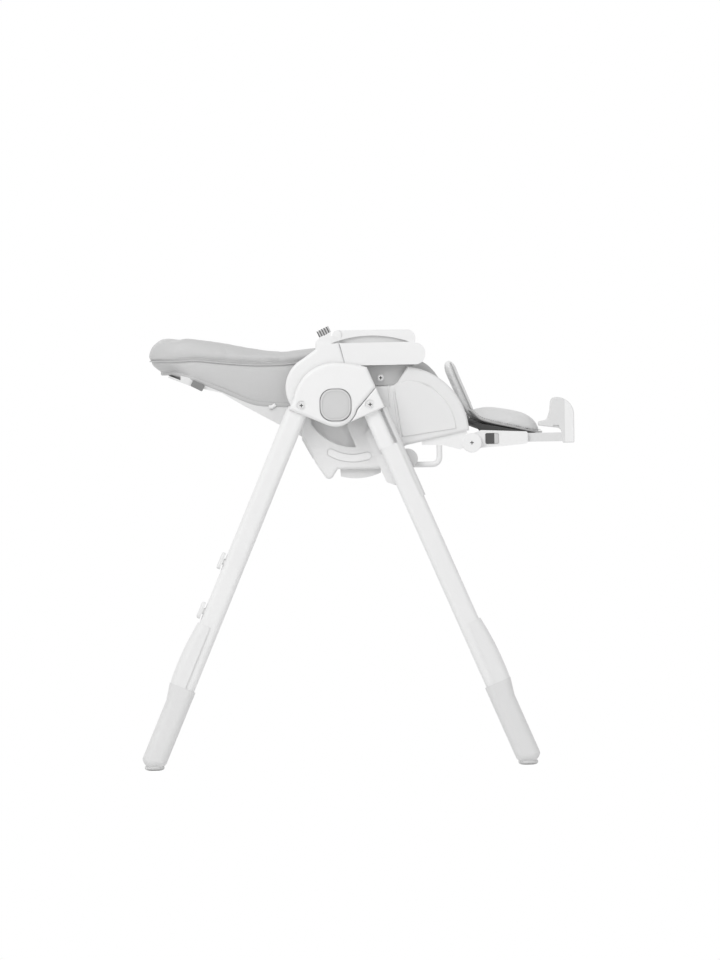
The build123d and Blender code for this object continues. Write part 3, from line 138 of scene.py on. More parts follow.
def smooth_line(points: np.ndarray | tuple, count: int) -> np.ndarray:
    """Smooth curve through points, sampled at even steps of its length.

    Args:
        points: knots, one row each.
        count: number of samples.

    Returns:
        Array of count rows.
    """
    knots = np.asarray(points, float)
    dense = spline_weights(len(knots), 40 * len(knots)) @ knots
    run = np.concatenate([[0], np.cumsum(np.linalg.norm(np.diff(dense, axis=0), axis=1))])
    steps = np.linspace(0, run[-1], count)
    return np.stack([np.interp(steps, run, column) for column in dense.T], axis=1)


def level(points: tuple, x: np.ndarray) -> np.ndarray:
    """Height of a smooth side line over x, held level past its ends.

    Args:
        points: knots of the line as (x, z).
        x: places along the chair.

    Returns:
        Heights, in the shape of x.
    """
    line = smooth_line(points, 240)
    line = line[np.argsort(line[:, 0])]
    return np.interp(x, line[:, 0], line[:, 1])


def ease(x: np.ndarray) -> np.ndarray:
    """Smooth step from 0 to 1."""
    share = np.clip(x, 0, 1)
    return share * share * (3 - 2 * share)


def power(x: np.ndarray, exponent: float) -> np.ndarray:
    """Power of the size of x with the sign of x."""
    return np.sign(x) * np.abs(x) ** exponent


def tangents(path: np.ndarray) -> np.ndarray:
    """Unit directions along a path."""
    along = np.gradient(path, axis=0)
    return along / np.linalg.norm(along, axis=1, keepdims=True)


def globe(sides: int, rows: int) -> tuple[np.ndarray, np.ndarray]:
    """Grids of the turn round a closed form and of the lift from its foot to its head, as angles."""
    return np.meshgrid(np.linspace(0, 2 * pi, sides, endpoint=False), np.linspace(-pi / 2, pi / 2, rows))


def grid_faces(rows: int, columns: int, loop: bool) -> np.ndarray:
    """Quads over a grid of points numbered row by row.

    Args:
        rows: number of rows.
        columns: number of points in a row.
        loop: whether each row closes on itself.

    Returns:
        Array of four point numbers a face.
    """
    across = columns if loop else columns - 1
    r, c = np.meshgrid(np.arange(rows - 1), np.arange(across), indexing="ij")
    n = (c + 1) % columns
    low, high = r * columns, (r + 1) * columns
    return np.stack([low + c, low + n, high + n, high + c], axis=-1).reshape(-1, 4)


def make_mesh(name: str, points: np.ndarray, faces: list, weld: float = WELD) -> bpy.types.Object:
    """Object at the origin from points in millimetres from the hub axis, closed and facing outwards.

    Args:
        name: name of the piece.
        points: array of x, y, z rows.
        faces: arrays of point numbers.
        weld: distance in metres under which points are joined.

    Returns:
        The new object, smooth shaded.
    """
    mesh = bpy.data.meshes.new(name)
    spots = (points.reshape(-1, 3) + HUB) * MM
    mesh.from_pydata(spots.tolist(), [], [list(face) for group in faces for face in group])
    shape = bmesh.new()
    shape.from_mesh(mesh)
    bmesh.ops.remove_doubles(shape, verts=shape.verts, dist=weld)
    bmesh.ops.dissolve_degenerate(shape, edges=shape.edges, dist=weld)
    bmesh.ops.recalc_face_normals(shape, faces=shape.faces)
    shape.to_mesh(mesh)
    shape.free()
    mesh.shade_smooth()
    piece = bpy.data.objects.new(name, mesh)
    bpy.context.scene.collection.objects.link(piece)
    return piece


def tube(
    name: str, path: np.ndarray, size: tuple, sides: int = 10, up: tuple = (0, 0, 1)
) -> bpy.types.Object:
    """Round or flat bar: an ellipse carried along a path, with each end drawn to a point.

    Args:
        name: name of the piece.
        path: points of the middle line.
        size: half sizes of the ellipse across the up direction and along it.
        sides: points round the ellipse.
        up: direction that the second half size keeps to.

    Returns:
        The new object.
    """
    along = tangents(path)
    across = np.cross(along, np.array(up, float))
    across /= np.linalg.norm(across, axis=1, keepdims=True)
    lift = np.cross(across, along)
    turn = np.linspace(0, 2 * pi, sides, endpoint=False)
    ring = path[:, None] + size[0] * np.cos(turn)[None, :, None] * across[:, None]
    ring = ring + size[1] * np.sin(turn)[None, :, None] * lift[:, None]
    ends = [np.repeat(path[k : k + 1, None], sides, axis=1) for k in (0, len(path) - 1)]
    rows = np.concatenate([ends[0], ring, ends[1]])
    return make_mesh(name, rows, [grid_faces(len(rows), sides, True)], weld=1e-6)


def side_bar(
    name: str, knots: tuple, y: float, count: int, size: tuple, sides: int = 10
) -> bpy.types.Object:
    """Bar laid along a smooth side line at one distance from the middle of the chair.

    Args:
        name: name of the piece.
        knots: side line as (x, z).
        y: distance from the middle, with its sign.
        count: points along the bar.
        size: half sizes of the bar's section up and down the side and out from it.
        sides: points round the section.

    Returns:
        The new object.
    """
    flat = smooth_line(knots, count)
    path = np.stack([flat[:, 0], np.full(count, y), flat[:, 1]], axis=1)
    return tube(name, path, size, sides, ACROSS)


def strip(name: str, knots: tuple, half: tuple, grid: tuple, closing: int) -> bpy.types.Object:
    """Padded strip across the chair: a flat oval carried along a side line, drawn in at both ends.

    Args:
        name: name of the piece.
        knots: side line as (x, z).
        half: half thickness and half width of the oval.
        grid: number of points along the line and round the oval.
        closing: even power of the end rounding, higher for a shorter one.

    Returns:
        The new object.
    """
    path = smooth_line(knots, grid[0])
    along = tangents(path)
    turn = np.linspace(0, 2 * pi, grid[1], endpoint=False)
    close = np.sqrt(np.clip(1 - np.linspace(-1, 1, grid[0]) ** closing, 0, 1))[:, None]
    out = half[0] * power(np.sin(turn), 0.7) * close
    wide = half[1] * power(np.cos(turn), 0.25) * (0.97 + 0.03 * close)
    points = np.stack([path[:, :1] - along[:, 1:] * out, wide, path[:, 1:] + along[:, :1] * out], axis=-1)
    return make_mesh(name, points, [grid_faces(*grid, True)])


def slab(
    name: str, outline: np.ndarray, middle: tuple, layers: int, edge: float, across: np.ndarray
) -> bpy.types.Object:
    """Rounded slab: a closed side outline that shrinks towards its middle as it goes across to either face.

    Args:
        name: name of the piece.
        outline: rows of (x, z) round the slab.
        middle: place that the outline shrinks to.
        layers: number of outlines from face to face.
        edge: power of the edge rounding, lower for a sharper edge.
        across: y of each layer.

    Returns:
        The new object.
    """
    lift = np.linspace(-pi / 2, pi / 2, layers)
    shrink = (np.abs(np.cos(lift)) ** edge)[:, None, None]
    flat = np.array(middle) + (outline - np.array(middle))[None] * shrink
    y = np.repeat(across[:, None], len(outline), axis=1)
    points = np.stack([flat[..., 0], y, flat[..., 1]], axis=-1)
    return make_mesh(name, points, [grid_faces(layers, len(outline), True)])


def stitches(name: str, path: np.ndarray, pitch: float, thread: float) -> bpy.types.Object:
    """Row of sewn stitches: short six-sided barrels laid one after another along a path.

    Args:
        name: name of the piece.
        path: points of the sewn line.
        pitch: length of a stitch with its gap.
        thread: half thickness of the thread.

    Returns:
        The new object.
    """
    run = np.concatenate([[0], np.cumsum(np.linalg.norm(np.diff(path, axis=0), axis=1))])
    count = int(run[-1] / pitch)
    mid = (np.arange(count) + 0.5) * run[-1] / count
    shares = np.array([-0.36, -0.3, 0.3, 0.36])
    girth = np.array([0.35, 1.0, 1.0, 0.35]) * thread
    spots = np.stack([np.interp(mid[:, None] + shares * pitch, run, column) for column in path.T], axis=-1)
    along = spots[:, -1] - spots[:, 0]
    along /= np.linalg.norm(along, axis=1, keepdims=True)
    # Any direction that no sewn line runs along gives the barrels their first side.
    across = np.cross(along, [0.3, 0.5, 0.8])
    across /= np.linalg.norm(across, axis=1, keepdims=True)
    lift = np.cross(along, across)
    turn = np.linspace(0, 2 * pi, 6, endpoint=False)
    round_about = np.cos(turn)[:, None] * across[:, None] + np.sin(turn)[:, None] * lift[:, None]
    points = spots[:, :, None] + girth[None, :, None, None] * round_about[:, None]
    base = np.arange(count)[:, None, None] * 24
    walls = (grid_faces(4, 6, True)[None] + base).reshape(-1, 4)
    caps = (np.array([[5, 4, 3, 2, 1, 0], [18, 19, 20, 21, 22, 23]])[None] + base).reshape(-1, 6)
    return make_mesh(name, points, [walls, caps], weld=1e-9)


class NodeGroups:
    """Shared shader groups, each with Object coordinates in and Height, Tone and Gloss out."""

    def __init__(self) -> None:
        """Start with none built."""
        self.built: dict[Grain, Tree] = {}

    def get(self, grain: Grain) -> Tree:
        """Group of a pattern, built at its first use.

        Args:
            grain: which pattern.

        Returns:
            The node group.
        """
        if grain not in self.built:
            self.built[grain] = self.build(grain)
        return self.built[grain]

    def build(self, grain: Grain) -> Tree:
        """Group of one pattern: fine relief, slow drift of tone and patches of gloss.

        Args:
            grain: which pattern.

        Returns:
            The node group.
        """
        tree = bpy.data.node_groups.new(grain.value, "ShaderNodeTree")
        for name, kind in (("Place", "NodeSocketVector"), ("Scale", "NodeSocketFloat")):
            tree.interface.new_socket(name, in_out="INPUT", socket_type=kind)
        for name in ("Height", "Tone", "Gloss"):
            tree.interface.new_socket(name, in_out="OUTPUT", socket_type="NodeSocketFloat")
        source = tree.nodes.new("NodeGroupInput")
        sink = tree.nodes.new("NodeGroupOutput")
        place, scale = source.outputs["Place"], source.outputs["Scale"]
        drift = self.noise(tree, place, 7.0, 3.0)
        patches = self.noise(tree, place, 34.0, 4.0)
        if grain is Grain.VINYL:
            cells = tree.nodes.new("ShaderNodeTexVoronoi")
            cells.feature = "DISTANCE_TO_EDGE"
            tree.links.new(place, cells.inputs["Vector"])
            tree.links.new(scale, cells.inputs["Scale"])
            pebble = self.ranged(tree, cells.outputs["Distance"], 0.0, 0.28)
            fine = self.noise(tree, place, 900.0, 2.0)
            height = self.mixed(tree, pebble, fine, 0.25)
            creased = self.ranged(tree, cells.outputs["Distance"], 0.12, 0.0)
            tone = self.mixed(tree, drift, creased, 0.35)
        elif grain is Grain.DRAWN:
            stretch = tree.nodes.new("ShaderNodeVectorMath")
            stretch.operation = "MULTIPLY"
            stretch.inputs[1].default_value = (1.0, 0.05, 1.0)
            tree.links.new(place, stretch.inputs[0])
            height = self.noise(tree, stretch.outputs[0], scale, 4.0)
            tone = self.mixed(tree, drift, height, 0.5)
        else:
            height = self.noise(tree, place, scale, 2.0 if grain is Grain.MOULDED else 1.0)
            tone = self.mixed(tree, drift, patches, 0.3)
        gloss = self.mixed(tree, patches, height, 0.3)
        for name, value in (("Height", height), ("Tone", tone), ("Gloss", gloss)):
            tree.links.new(value, sink.inputs[name])
        return tree

    @staticmethod
    def noise(tree: Tree, place: Socket, scale: float | Socket, detail: float) -> Socket:
        """Noise over a place.

        Args:
            tree: the group it goes into.
            place: coordinates.
            scale: waves a metre, as a number or a socket.
            detail: number of finer layers.

        Returns:
            Socket of values from 0 to 1.
        """
        node = tree.nodes.new("ShaderNodeTexNoise")
        node.inputs["Detail"].default_value = detail
        tree.links.new(place, node.inputs["Vector"])
        if isinstance(scale, float):
            node.inputs["Scale"].default_value = scale
        else:
            tree.links.new(scale, node.inputs["Scale"])
        return node.outputs["Fac"]

    @staticmethod
    def ranged(tree: Tree, value: Socket, low: float, high: float) -> Socket:
        """Value brought smoothly from low..high to 0..1.

        Args:
            tree: the group it goes into.
            value: the value.
            low: what becomes 0.
            high: what becomes 1.

        Returns:
            Socket of the result.
        """
        node = tree.nodes.new("ShaderNodeMapRange")
        node.interpolation_type = "SMOOTHSTEP"
        node.inputs["From Min"].default_value = low
        node.inputs["From Max"].default_value = high
        tree.links.new(value, node.inputs["Value"])
        return node.outputs["Result"]

    @staticmethod
    def mixed(tree: Tree, first: Socket, second: Socket, share: float) -> Socket:
        """Mix of two values.

        Args:
            tree: the group it goes into.
            first: the value at a share of 0.
            second: the value at a share of 1.
            share: how much of the second.

        Returns:
            Socket of the mix.
        """
        node = tree.nodes.new("ShaderNodeMix")
        node.inputs["Factor"].default_value = share
        tree.links.new(first, node.inputs["A"])
        tree.links.new(second, node.inputs["B"])
        return node.outputs["Result"]


GROUPS = NodeGroups()


@dataclass(frozen=True)
class Zone:
    """Box of the chair, in metres each side of the middle, where a moulding takes a second shade."""

    shade: float
    low: tuple
    high: tuple


@dataclass(frozen=True)
class Stripes:
    """Painted shade in grooves: planes square to a direction, a pitch apart, from an offset, in metres."""

    shade: float
    way: tuple
    pitch: float
    offset: float
    land: float = 0.56


class ColourMix:
    """Colour sockets of a mix node, which also has hidden number and vector sockets of the same names."""

    def __init__(self, node: bpy.types.Node) -> None:
        """Keep the factor and the colour result of the node."""
        self.factor: Socket = next(s for s in node.inputs if s.name == "Factor" and s.type == "VALUE")
        self.result: Socket = next(s for s in node.outputs if s.type == "RGBA")


@dataclass(frozen=True)
class Finish:
    """One finish: its shade, gloss and surface pattern."""

    name: str
    slot: str
    shade: float
    grain: Grain = Grain.MOULDED
    pitch: float = 0.0007
    relief: float = 0.1
    rough: tuple = (0.36, 0.5)
    drift: float = 6.0
    metal: float = 0.0
    coat: float = 0.0
    sheen: float = 0.0
    zone: Zone | None = None
    stripes: Stripes | None = None

    @staticmethod
    def colour(shade: float) -> tuple:
        """Linear colour of a grey level."""
        grey = linear(shade)
        return (grey, grey, grey, 1.0)

    def make(self) -> bpy.types.Material:
        """Material with the pattern group driving colour, roughness and relief.

        Returns:
            The material.
        """
        material = bpy.data.materials.new(self.name)
        material.use_nodes = True
        tree = material.node_tree
        shader = tree.nodes["Principled BSDF"]
        shader.inputs["Metallic"].default_value = self.metal
        shader.inputs["Coat Weight"].default_value = self.coat
        shader.inputs["Sheen Weight"].default_value = self.sheen
        shader.inputs["Specular IOR Level"].default_value = 0.35
        spot = tree.nodes.new("ShaderNodeTexCoord").outputs["Object"]
        pattern = tree.nodes.new("ShaderNodeGroup")
        pattern.node_tree = GROUPS.get(self.grain)
        pattern.inputs["Scale"].default_value = 1 / self.pitch
        tree.links.new(spot, pattern.inputs["Place"])
        light, dark = self.colour(self.shade + self.drift / 2), self.colour(self.shade - self.drift / 2)
        tint = self.mix(tree, light, dark, pattern.outputs["Tone"])
        if self.zone:
            tint = self.mix(tree, tint, self.colour(self.zone.shade), self.inside(tree, spot))
        # Painted shade in grooves, where a finish has them.
        if self.stripes:
            tint = self.mix(tree, tint, self.colour(self.stripes.shade), self.grooves(tree, spot))
        tree.links.new(tint, shader.inputs["Base Color"])
        gloss = tree.nodes.new("ShaderNodeMapRange")
        gloss.inputs["To Min"].default_value, gloss.inputs["To Max"].default_value = self.rough
        tree.links.new(pattern.outputs["Gloss"], gloss.inputs["Value"])
        tree.links.new(gloss.outputs["Result"], shader.inputs["Roughness"])
        bump = tree.nodes.new("ShaderNodeBump")
        bump.inputs["Strength"].default_value = self.relief
        bump.inputs["Distance"].default_value = self.pitch / 2
        tree.links.new(pattern.outputs["Height"], bump.inputs["Height"])
        tree.links.new(bump.outputs["Normal"], shader.inputs["Normal"])
        return material

    @staticmethod
    def mix(tree: Tree, first: tuple | Socket, second: tuple | Socket, mask: Socket) -> Socket:
        """Colour mix of two colours or sockets.

        Args:
            tree: the material's nodes.
            first: colour where the mask is 0.
            second: colour where the mask is 1.
            mask: how much of the second.

        Returns:
            Socket of the mixed colour.
        """
        node = tree.nodes.new("ShaderNodeMix")
        node.data_type = "RGBA"
        for name, value in (("A", first), ("B", second)):
            socket = next(s for s in node.inputs if s.name == name and s.type == "RGBA")
            if isinstance(value, tuple):
                socket.default_value = value
            else:
                tree.links.new(value, socket)
        sockets = ColourMix(node)
        tree.links.new(mask, sockets.factor)
        return sockets.result

    def grooves(self, tree: Tree, spot: Socket) -> Socket:
        """Mask of this finish's grooves of painted shade.

        Args:
            tree: the material's nodes.
            spot: Object coordinates.

        Returns:
            Socket that is 1 in a groove and 0 on a land.
        """
        run = tree.nodes.new("ShaderNodeVectorMath")
        run.operation = "DOT_PRODUCT"
        run.inputs[1].default_value = self.stripes.way
        tree.links.new(spot, run.inputs[0])
        pitch = self.stripes.pitch
        count = self.maths(tree, "MULTIPLY_ADD", run.outputs["Value"], 1 / pitch, self.stripes.offset / pitch)
        return self.maths(tree, "GREATER_THAN", self.maths(tree, "FRACT", count), self.stripes.land)

    def inside(self, tree: Tree, spot: Socket) -> Socket:
        """Mask of this finish's zone on both sides of the chair.

        Args:
            tree: the material's nodes.
            spot: Object coordinates.

        Returns:
            Socket that is 1 in the zone and 0 elsewhere.
        """
        split = tree.nodes.new("ShaderNodeSeparateXYZ")
        tree.links.new(spot, split.inputs[0])
        result = None
        for axis, (low, high) in enumerate(zip(self.zone.low, self.zone.high)):
            value = split.outputs[axis]
            if axis == 1:
                value = self.maths(tree, "ABSOLUTE", value)
            near = self.maths(tree, "COMPARE", value, (low + high) / 2, (high - low) / 2)
            result = near if result is None else self.maths(tree, "MULTIPLY", result, near)
        return result

    @staticmethod
    def maths(tree: Tree, operation: str, *values: float | Socket) -> Socket:
        """Result of one sum.

        Args:
            tree: the nodes it goes into.
            operation: name of the sum.
            values: sockets or numbers.

        Returns:
            Socket of the result.
        """
        node = tree.nodes.new("ShaderNodeMath")
        node.operation = operation
        for k, value in enumerate(values):
            if isinstance(value, (int, float)):
                node.inputs[k].default_value = value
            else:
                tree.links.new(value, node.inputs[k])
        return node.outputs[0]


WHITE = Finish("white_moulding", "white_plastic", 243)
PALE = Finish("pale_moulding", "pale_plastic", 236)
BOOT = Finish("boot_moulding", "pale_plastic", 227, relief=0.16, rough=(0.42, 0.56))
LEG = Finish(
    "leg_powder_coat", "leg_paint", 240, Grain.POWDER, pitch=0.0011, relief=0.07, rough=(0.3, 0.4), coat=0.08
)
# Painted shade in the hollow of the tray rail.
ARM = replace(WHITE, name="arm_moulding", zone=Zone(222, (-0.06, 0.2, 0.8175), (0.11, 0.211, 0.8335)))
# Slightly darker painted shade in the recess of the side cover behind the rear leg.
SIDE = Finish("side_moulding", "white_plastic", 235, zone=Zone(233, (-0.1, 0.2, 0.6), (0.02, 0.2075, 0.71)))
# Painted light: the wall of the bucket under the armrest is painted lighter than the rest of the bucket.
BUCKET = Finish(
    "bucket_moulding", "pale_plastic", 222, zone=Zone(230, (-0.05, 0.1765, 0.69), (0.115, 0.19, 0.79))
)
SHELL = Finish("back_shell_moulding", "pale_plastic", 230)
UNDER = Finish("under_seat_moulding", "pale_plastic", 226)
BUTTON = Finish("grey_button", "grey_plastic", 211, relief=0.06, rough=(0.3, 0.42))
# The latch has a light front part.
LATCH = Finish(
    "legrest_latch", "dark_plastic", 84, drift=10, zone=Zone(206, (0.2655, 0.1, 0.6), (0.3, 0.25, 0.66))
)
# The board between the legrest arms is dark.
REST = Finish("legrest_moulding", "white_plastic", 242, zone=Zone(66, (0.2, 0.0, 0.6), (0.4, 0.1842, 0.7)))
HANDLE = Finish("recline_grip", "dark_plastic", 136, relief=0.14, rough=(0.44, 0.58), drift=10)
# The dark grooves between the ribs are painted shade.
RIBBED = Finish(
    "ribbed_button", "dark_plastic", 196, relief=0.08,
    stripes=Stripes(92, (0.9018, 0.0, 0.4321), 0.005, 0.0012),
)
CHROME = Finish("bright_steel", "steel", 226, Grain.DRAWN, 0.0012, rough=(0.2, 0.32), metal=0.6, drift=10)
# Painted shade of the screws' cross recesses, on dark bars laid over the heads.
SLOT_SHADE = Finish("screw_slot", "steel", 62, Grain.DRAWN, pitch=0.0008, rough=(0.5, 0.6), drift=8)
# The foot plate is painted darker than the white mouldings, as painted shade on its side, and its front edge
# lighter, as painted light.
PLATE = Finish(
    "foot_plate_moulding", "white_plastic", 226, zone=Zone(243, (0.402, 0.0, 0.6), (0.45, 0.25, 0.73))
)
RUBBER = Finish("foot_rubber", "rubber", 222, relief=0.3, rough=(0.6, 0.8))
STEEL = Finish("plated_steel", "steel", 176, Grain.DRAWN, 0.0012, rough=(0.26, 0.4), metal=1.0, drift=14)
VINYL = Finish(
    "grey_vinyl", "vinyl", 203, Grain.VINYL, 0.0021, 0.22, (0.42, 0.6), drift=9, coat=0.05, sheen=0.12
)
GUARD = replace(VINYL, name="guard_vinyl", shade=228, relief=0.2, drift=8)
# Painted light: the crotch cover's vinyl is painted lighter than the legrest pad's, making up for the shade its
# side lies in.
POMMEL = replace(GUARD, name="pommel_vinyl", shade=246)
PIPING = Finish("vinyl_piping", "vinyl", 194, Grain.VINYL, 0.0014, 0.2, (0.38, 0.52), drift=8, sheen=0.08)
THREAD = Finish("grey_thread", "vinyl", 188, Grain.DRAWN, 0.0006, 0.3, (0.55, 0.7), drift=12, sheen=0.2)
# Painted shade of the recess under each armrest, on the plate laid in it.
POCKET_SHADE = Finish("side_pocket", "dark_plastic", 208, relief=0.12, drift=10)
LINING = Finish(
    "dark_lining", "dark_plastic", 74, Grain.VINYL, 0.0009, 0.3, (0.6, 0.75), drift=10, sheen=0.15
)
FLOOR = Finish("pale_floor", "white_plastic", 252, relief=0.02, rough=(0.8, 0.9), drift=2)


class Wardrobe:
    """Hands each finish out as one material."""

    def __init__(self) -> None:
        """Start empty."""
        self.made: dict[str, bpy.types.Material] = {}

    def material(self, finish: Finish) -> bpy.types.Material:
        """Material of a finish, made once.

        Args:
            finish: the finish.

        Returns:
            Its material.
        """
        if finish.name not in self.made:
            self.made[finish.name] = finish.make()
        return self.made[finish.name]

    def dress(self, piece: bpy.types.Object, finish: Finish, body: str) -> None:
        """Give a new piece its finish and its body.

        Args:
            piece: the new object.
            finish: what it is made of.
            body: the body it rides on.
        """
        piece.data.materials.append(self.material(finish))
        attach(piece, body)
        LOG.info("%s: %d faces on %s", piece.name, len(piece.data.polygons), body)

    def paint(self, finish: Finish, *nodes: str) -> None:
        """Give carried-over solids a finish.

        Args:
            finish: what they are made of.
            nodes: names of the solids.
        """
        for name in nodes:
            slots = frame["nodes"][name].data.materials
            slots.clear()
            slots.append(self.material(finish))
            LOG.info("%s: %s", name, finish.name)


WARDROBE = Wardrobe()


@dataclass
class Crease:
    """Fold pressed into a cover along a straight side line, in millimetres from the hub axis."""

    start: tuple
    end: tuple
    depth: float
    width: float


class Cover:
    """Sewn cover: a closed form that is remeshed, blown up as cloth, capped and subdivided."""

    FRAMES = 20

    @staticmethod
    def inflate(
        piece: bpy.types.Object, voxel: float, pressure: float, cap: float, held: np.ndarray | None = None
    ) -> None:
        """Blow a closed form up as cloth for some frames, with no point moving further than the cap.

        Args:
            piece: the form, changed in place.
            voxel: size of the remesh, in metres.
            pressure: push of the filling.
            cap: most that a point moves, in metres.
            held: rows of x, y, z of places that stay, with a reach in the fourth column, or None.
        """
        remesh = piece.modifiers.new("remesh", "REMESH")
        remesh.mode = "VOXEL"
        remesh.voxel_size = voxel
        Cover.settle(piece)
        start = Cover.points(piece.data)
        cloth = piece.modifiers.new("cloth", "CLOTH")
        cloth.settings.quality = 5
        cloth.settings.mass = 0.25
        cloth.settings.use_pressure = True
        cloth.settings.uniform_pressure_force = pressure
        cloth.settings.tension_stiffness = 18
        cloth.settings.compression_stiffness = 12
        cloth.settings.bending_stiffness = 1.2
        cloth.settings.effector_weights.gravity = 0
        cloth.collision_settings.use_collision = False
        if held is not None:
            group = piece.vertex_groups.new(name="held")
            gap = np.linalg.norm(start[:, None] - held[None, :, :3], axis=2) / held[None, :, 3]
            group.add(np.flatnonzero(gap.min(axis=1) < 1).tolist(), 1.0, "REPLACE")
            cloth.settings.vertex_group_mass = "held"
        scene = bpy.context.scene
        for step in range(1, Cover.FRAMES + 1):
            scene.frame_set(step)
        blown = piece.evaluated_get(bpy.context.evaluated_depsgraph_get())
        moved = Cover.points(blown.to_mesh()) - start
        blown.to_mesh_clear()
        piece.modifiers.remove(cloth)
        piece.vertex_groups.clear()
        scene.frame_set(1)
        reach = np.linalg.norm(moved, axis=1, keepdims=True)
        Cover.place(piece, start + moved * np.minimum(1, cap / np.maximum(reach, 1e-9)))

    @staticmethod
    def settle(piece: bpy.types.Object) -> None:
        """Apply a piece's modifiers to its mesh.

        Args:
            piece: the object, changed in place.
        """
        graph = bpy.context.evaluated_depsgraph_get()
        old = piece.data
        piece.data = bpy.data.meshes.new_from_object(piece.evaluated_get(graph))
        piece.modifiers.clear()
        bpy.data.meshes.remove(old)
        piece.data.shade_smooth()

    @staticmethod
    def points(mesh: bpy.types.Mesh, kind: str = "co") -> np.ndarray:
        """Points of a mesh, or their normals, as rows.

        Args:
            mesh: the mesh.
            kind: name of what is read, co or normal.

        Returns:
            Array of x, y, z rows.
        """
        flat = np.empty(3 * len(mesh.vertices))
        mesh.vertices.foreach_get(kind, flat)
        return flat.reshape(-1, 3)

    @staticmethod
    def place(piece: bpy.types.Object, points: np.ndarray) -> None:
        """Write points back into a piece's mesh."""
        piece.data.vertices.foreach_set("co", points.ravel())
        piece.data.update()

    @staticmethod
    def sink(piece: bpy.types.Object, depth: np.ndarray) -> None:
        """Move a cover's points in along their normals, by depths in millimetres."""
        moved = Cover.points(piece.data) - Cover.points(piece.data, "normal") * depth[:, None] * MM
        Cover.place(piece, moved)

    @staticmethod
    def press(piece: bpy.types.Object, line: np.ndarray, depth: float, width: float) -> None:
        """Sink a sewn line into a cover by a bell curve of each point's distance from it.

        Args:
            piece: the cover.
            line: points of the sewn line, in millimetres from the hub axis.
            depth: how far the middle sinks, in millimetres.
            width: spread of the bell curve, in millimetres.
        """
        spots = Cover.points(piece.data) / MM - HUB
        reach = 4 * width
        low, high = line.min(axis=0) - reach, line.max(axis=0) + reach
        near = np.flatnonzero(np.all((spots > low) & (spots < high), axis=1))
        gap = np.full(len(near), np.inf)
        for part in np.array_split(line, max(1, len(line) // 40)):
            gap = np.minimum(gap, np.linalg.norm(spots[near, None] - part[None], axis=2).min(axis=1))
        sink = np.zeros(len(spots))
        sink[near] = depth * np.exp(-((gap / width) ** 2))
        Cover.sink(piece, sink)

    @staticmethod
    def fold(piece: bpy.types.Object, creases: tuple, inner: float) -> None:
        """Press creases into both sides of a cover: each a bell curve with a raised lip beside it.

        Args:
            piece: the cover.
            creases: folds as seen from the side.
            inner: distance from the middle, in millimetres, inside which nothing moves.
        """
        spots = Cover.points(piece.data) / MM - HUB
        sink = np.zeros(len(spots))
        for crease in creases:
            a, b = np.array(crease.start), np.array(crease.end)
            rel = spots[:, [0, 2]] - a
            share = np.clip(rel @ (b - a) / ((b - a) @ (b - a)), 0, 1)
            gap = np.linalg.norm(rel - share[:, None] * (b - a), axis=1) / crease.width
            fade = np.sin(pi * np.clip(share, 0.04, 0.96)) ** 0.5
            sink += crease.depth * fade * (np.exp(-(gap**2)) - 0.45 * np.exp(-((gap - 2) ** 2)))
        Cover.sink(piece, sink * ease((np.abs(spots[:, 1]) - inner) / 12))

    @staticmethod
    def round_off(piece: bpy.types.Object, fill: float) -> None:
        """Finish a cover with one subdivision.

        Args:
            piece: the cover.
            fill: how full it is; not used.
        """
        finer = piece.modifiers.new("finer", "SUBSURF")
        finer.levels = finer.render_levels = 1


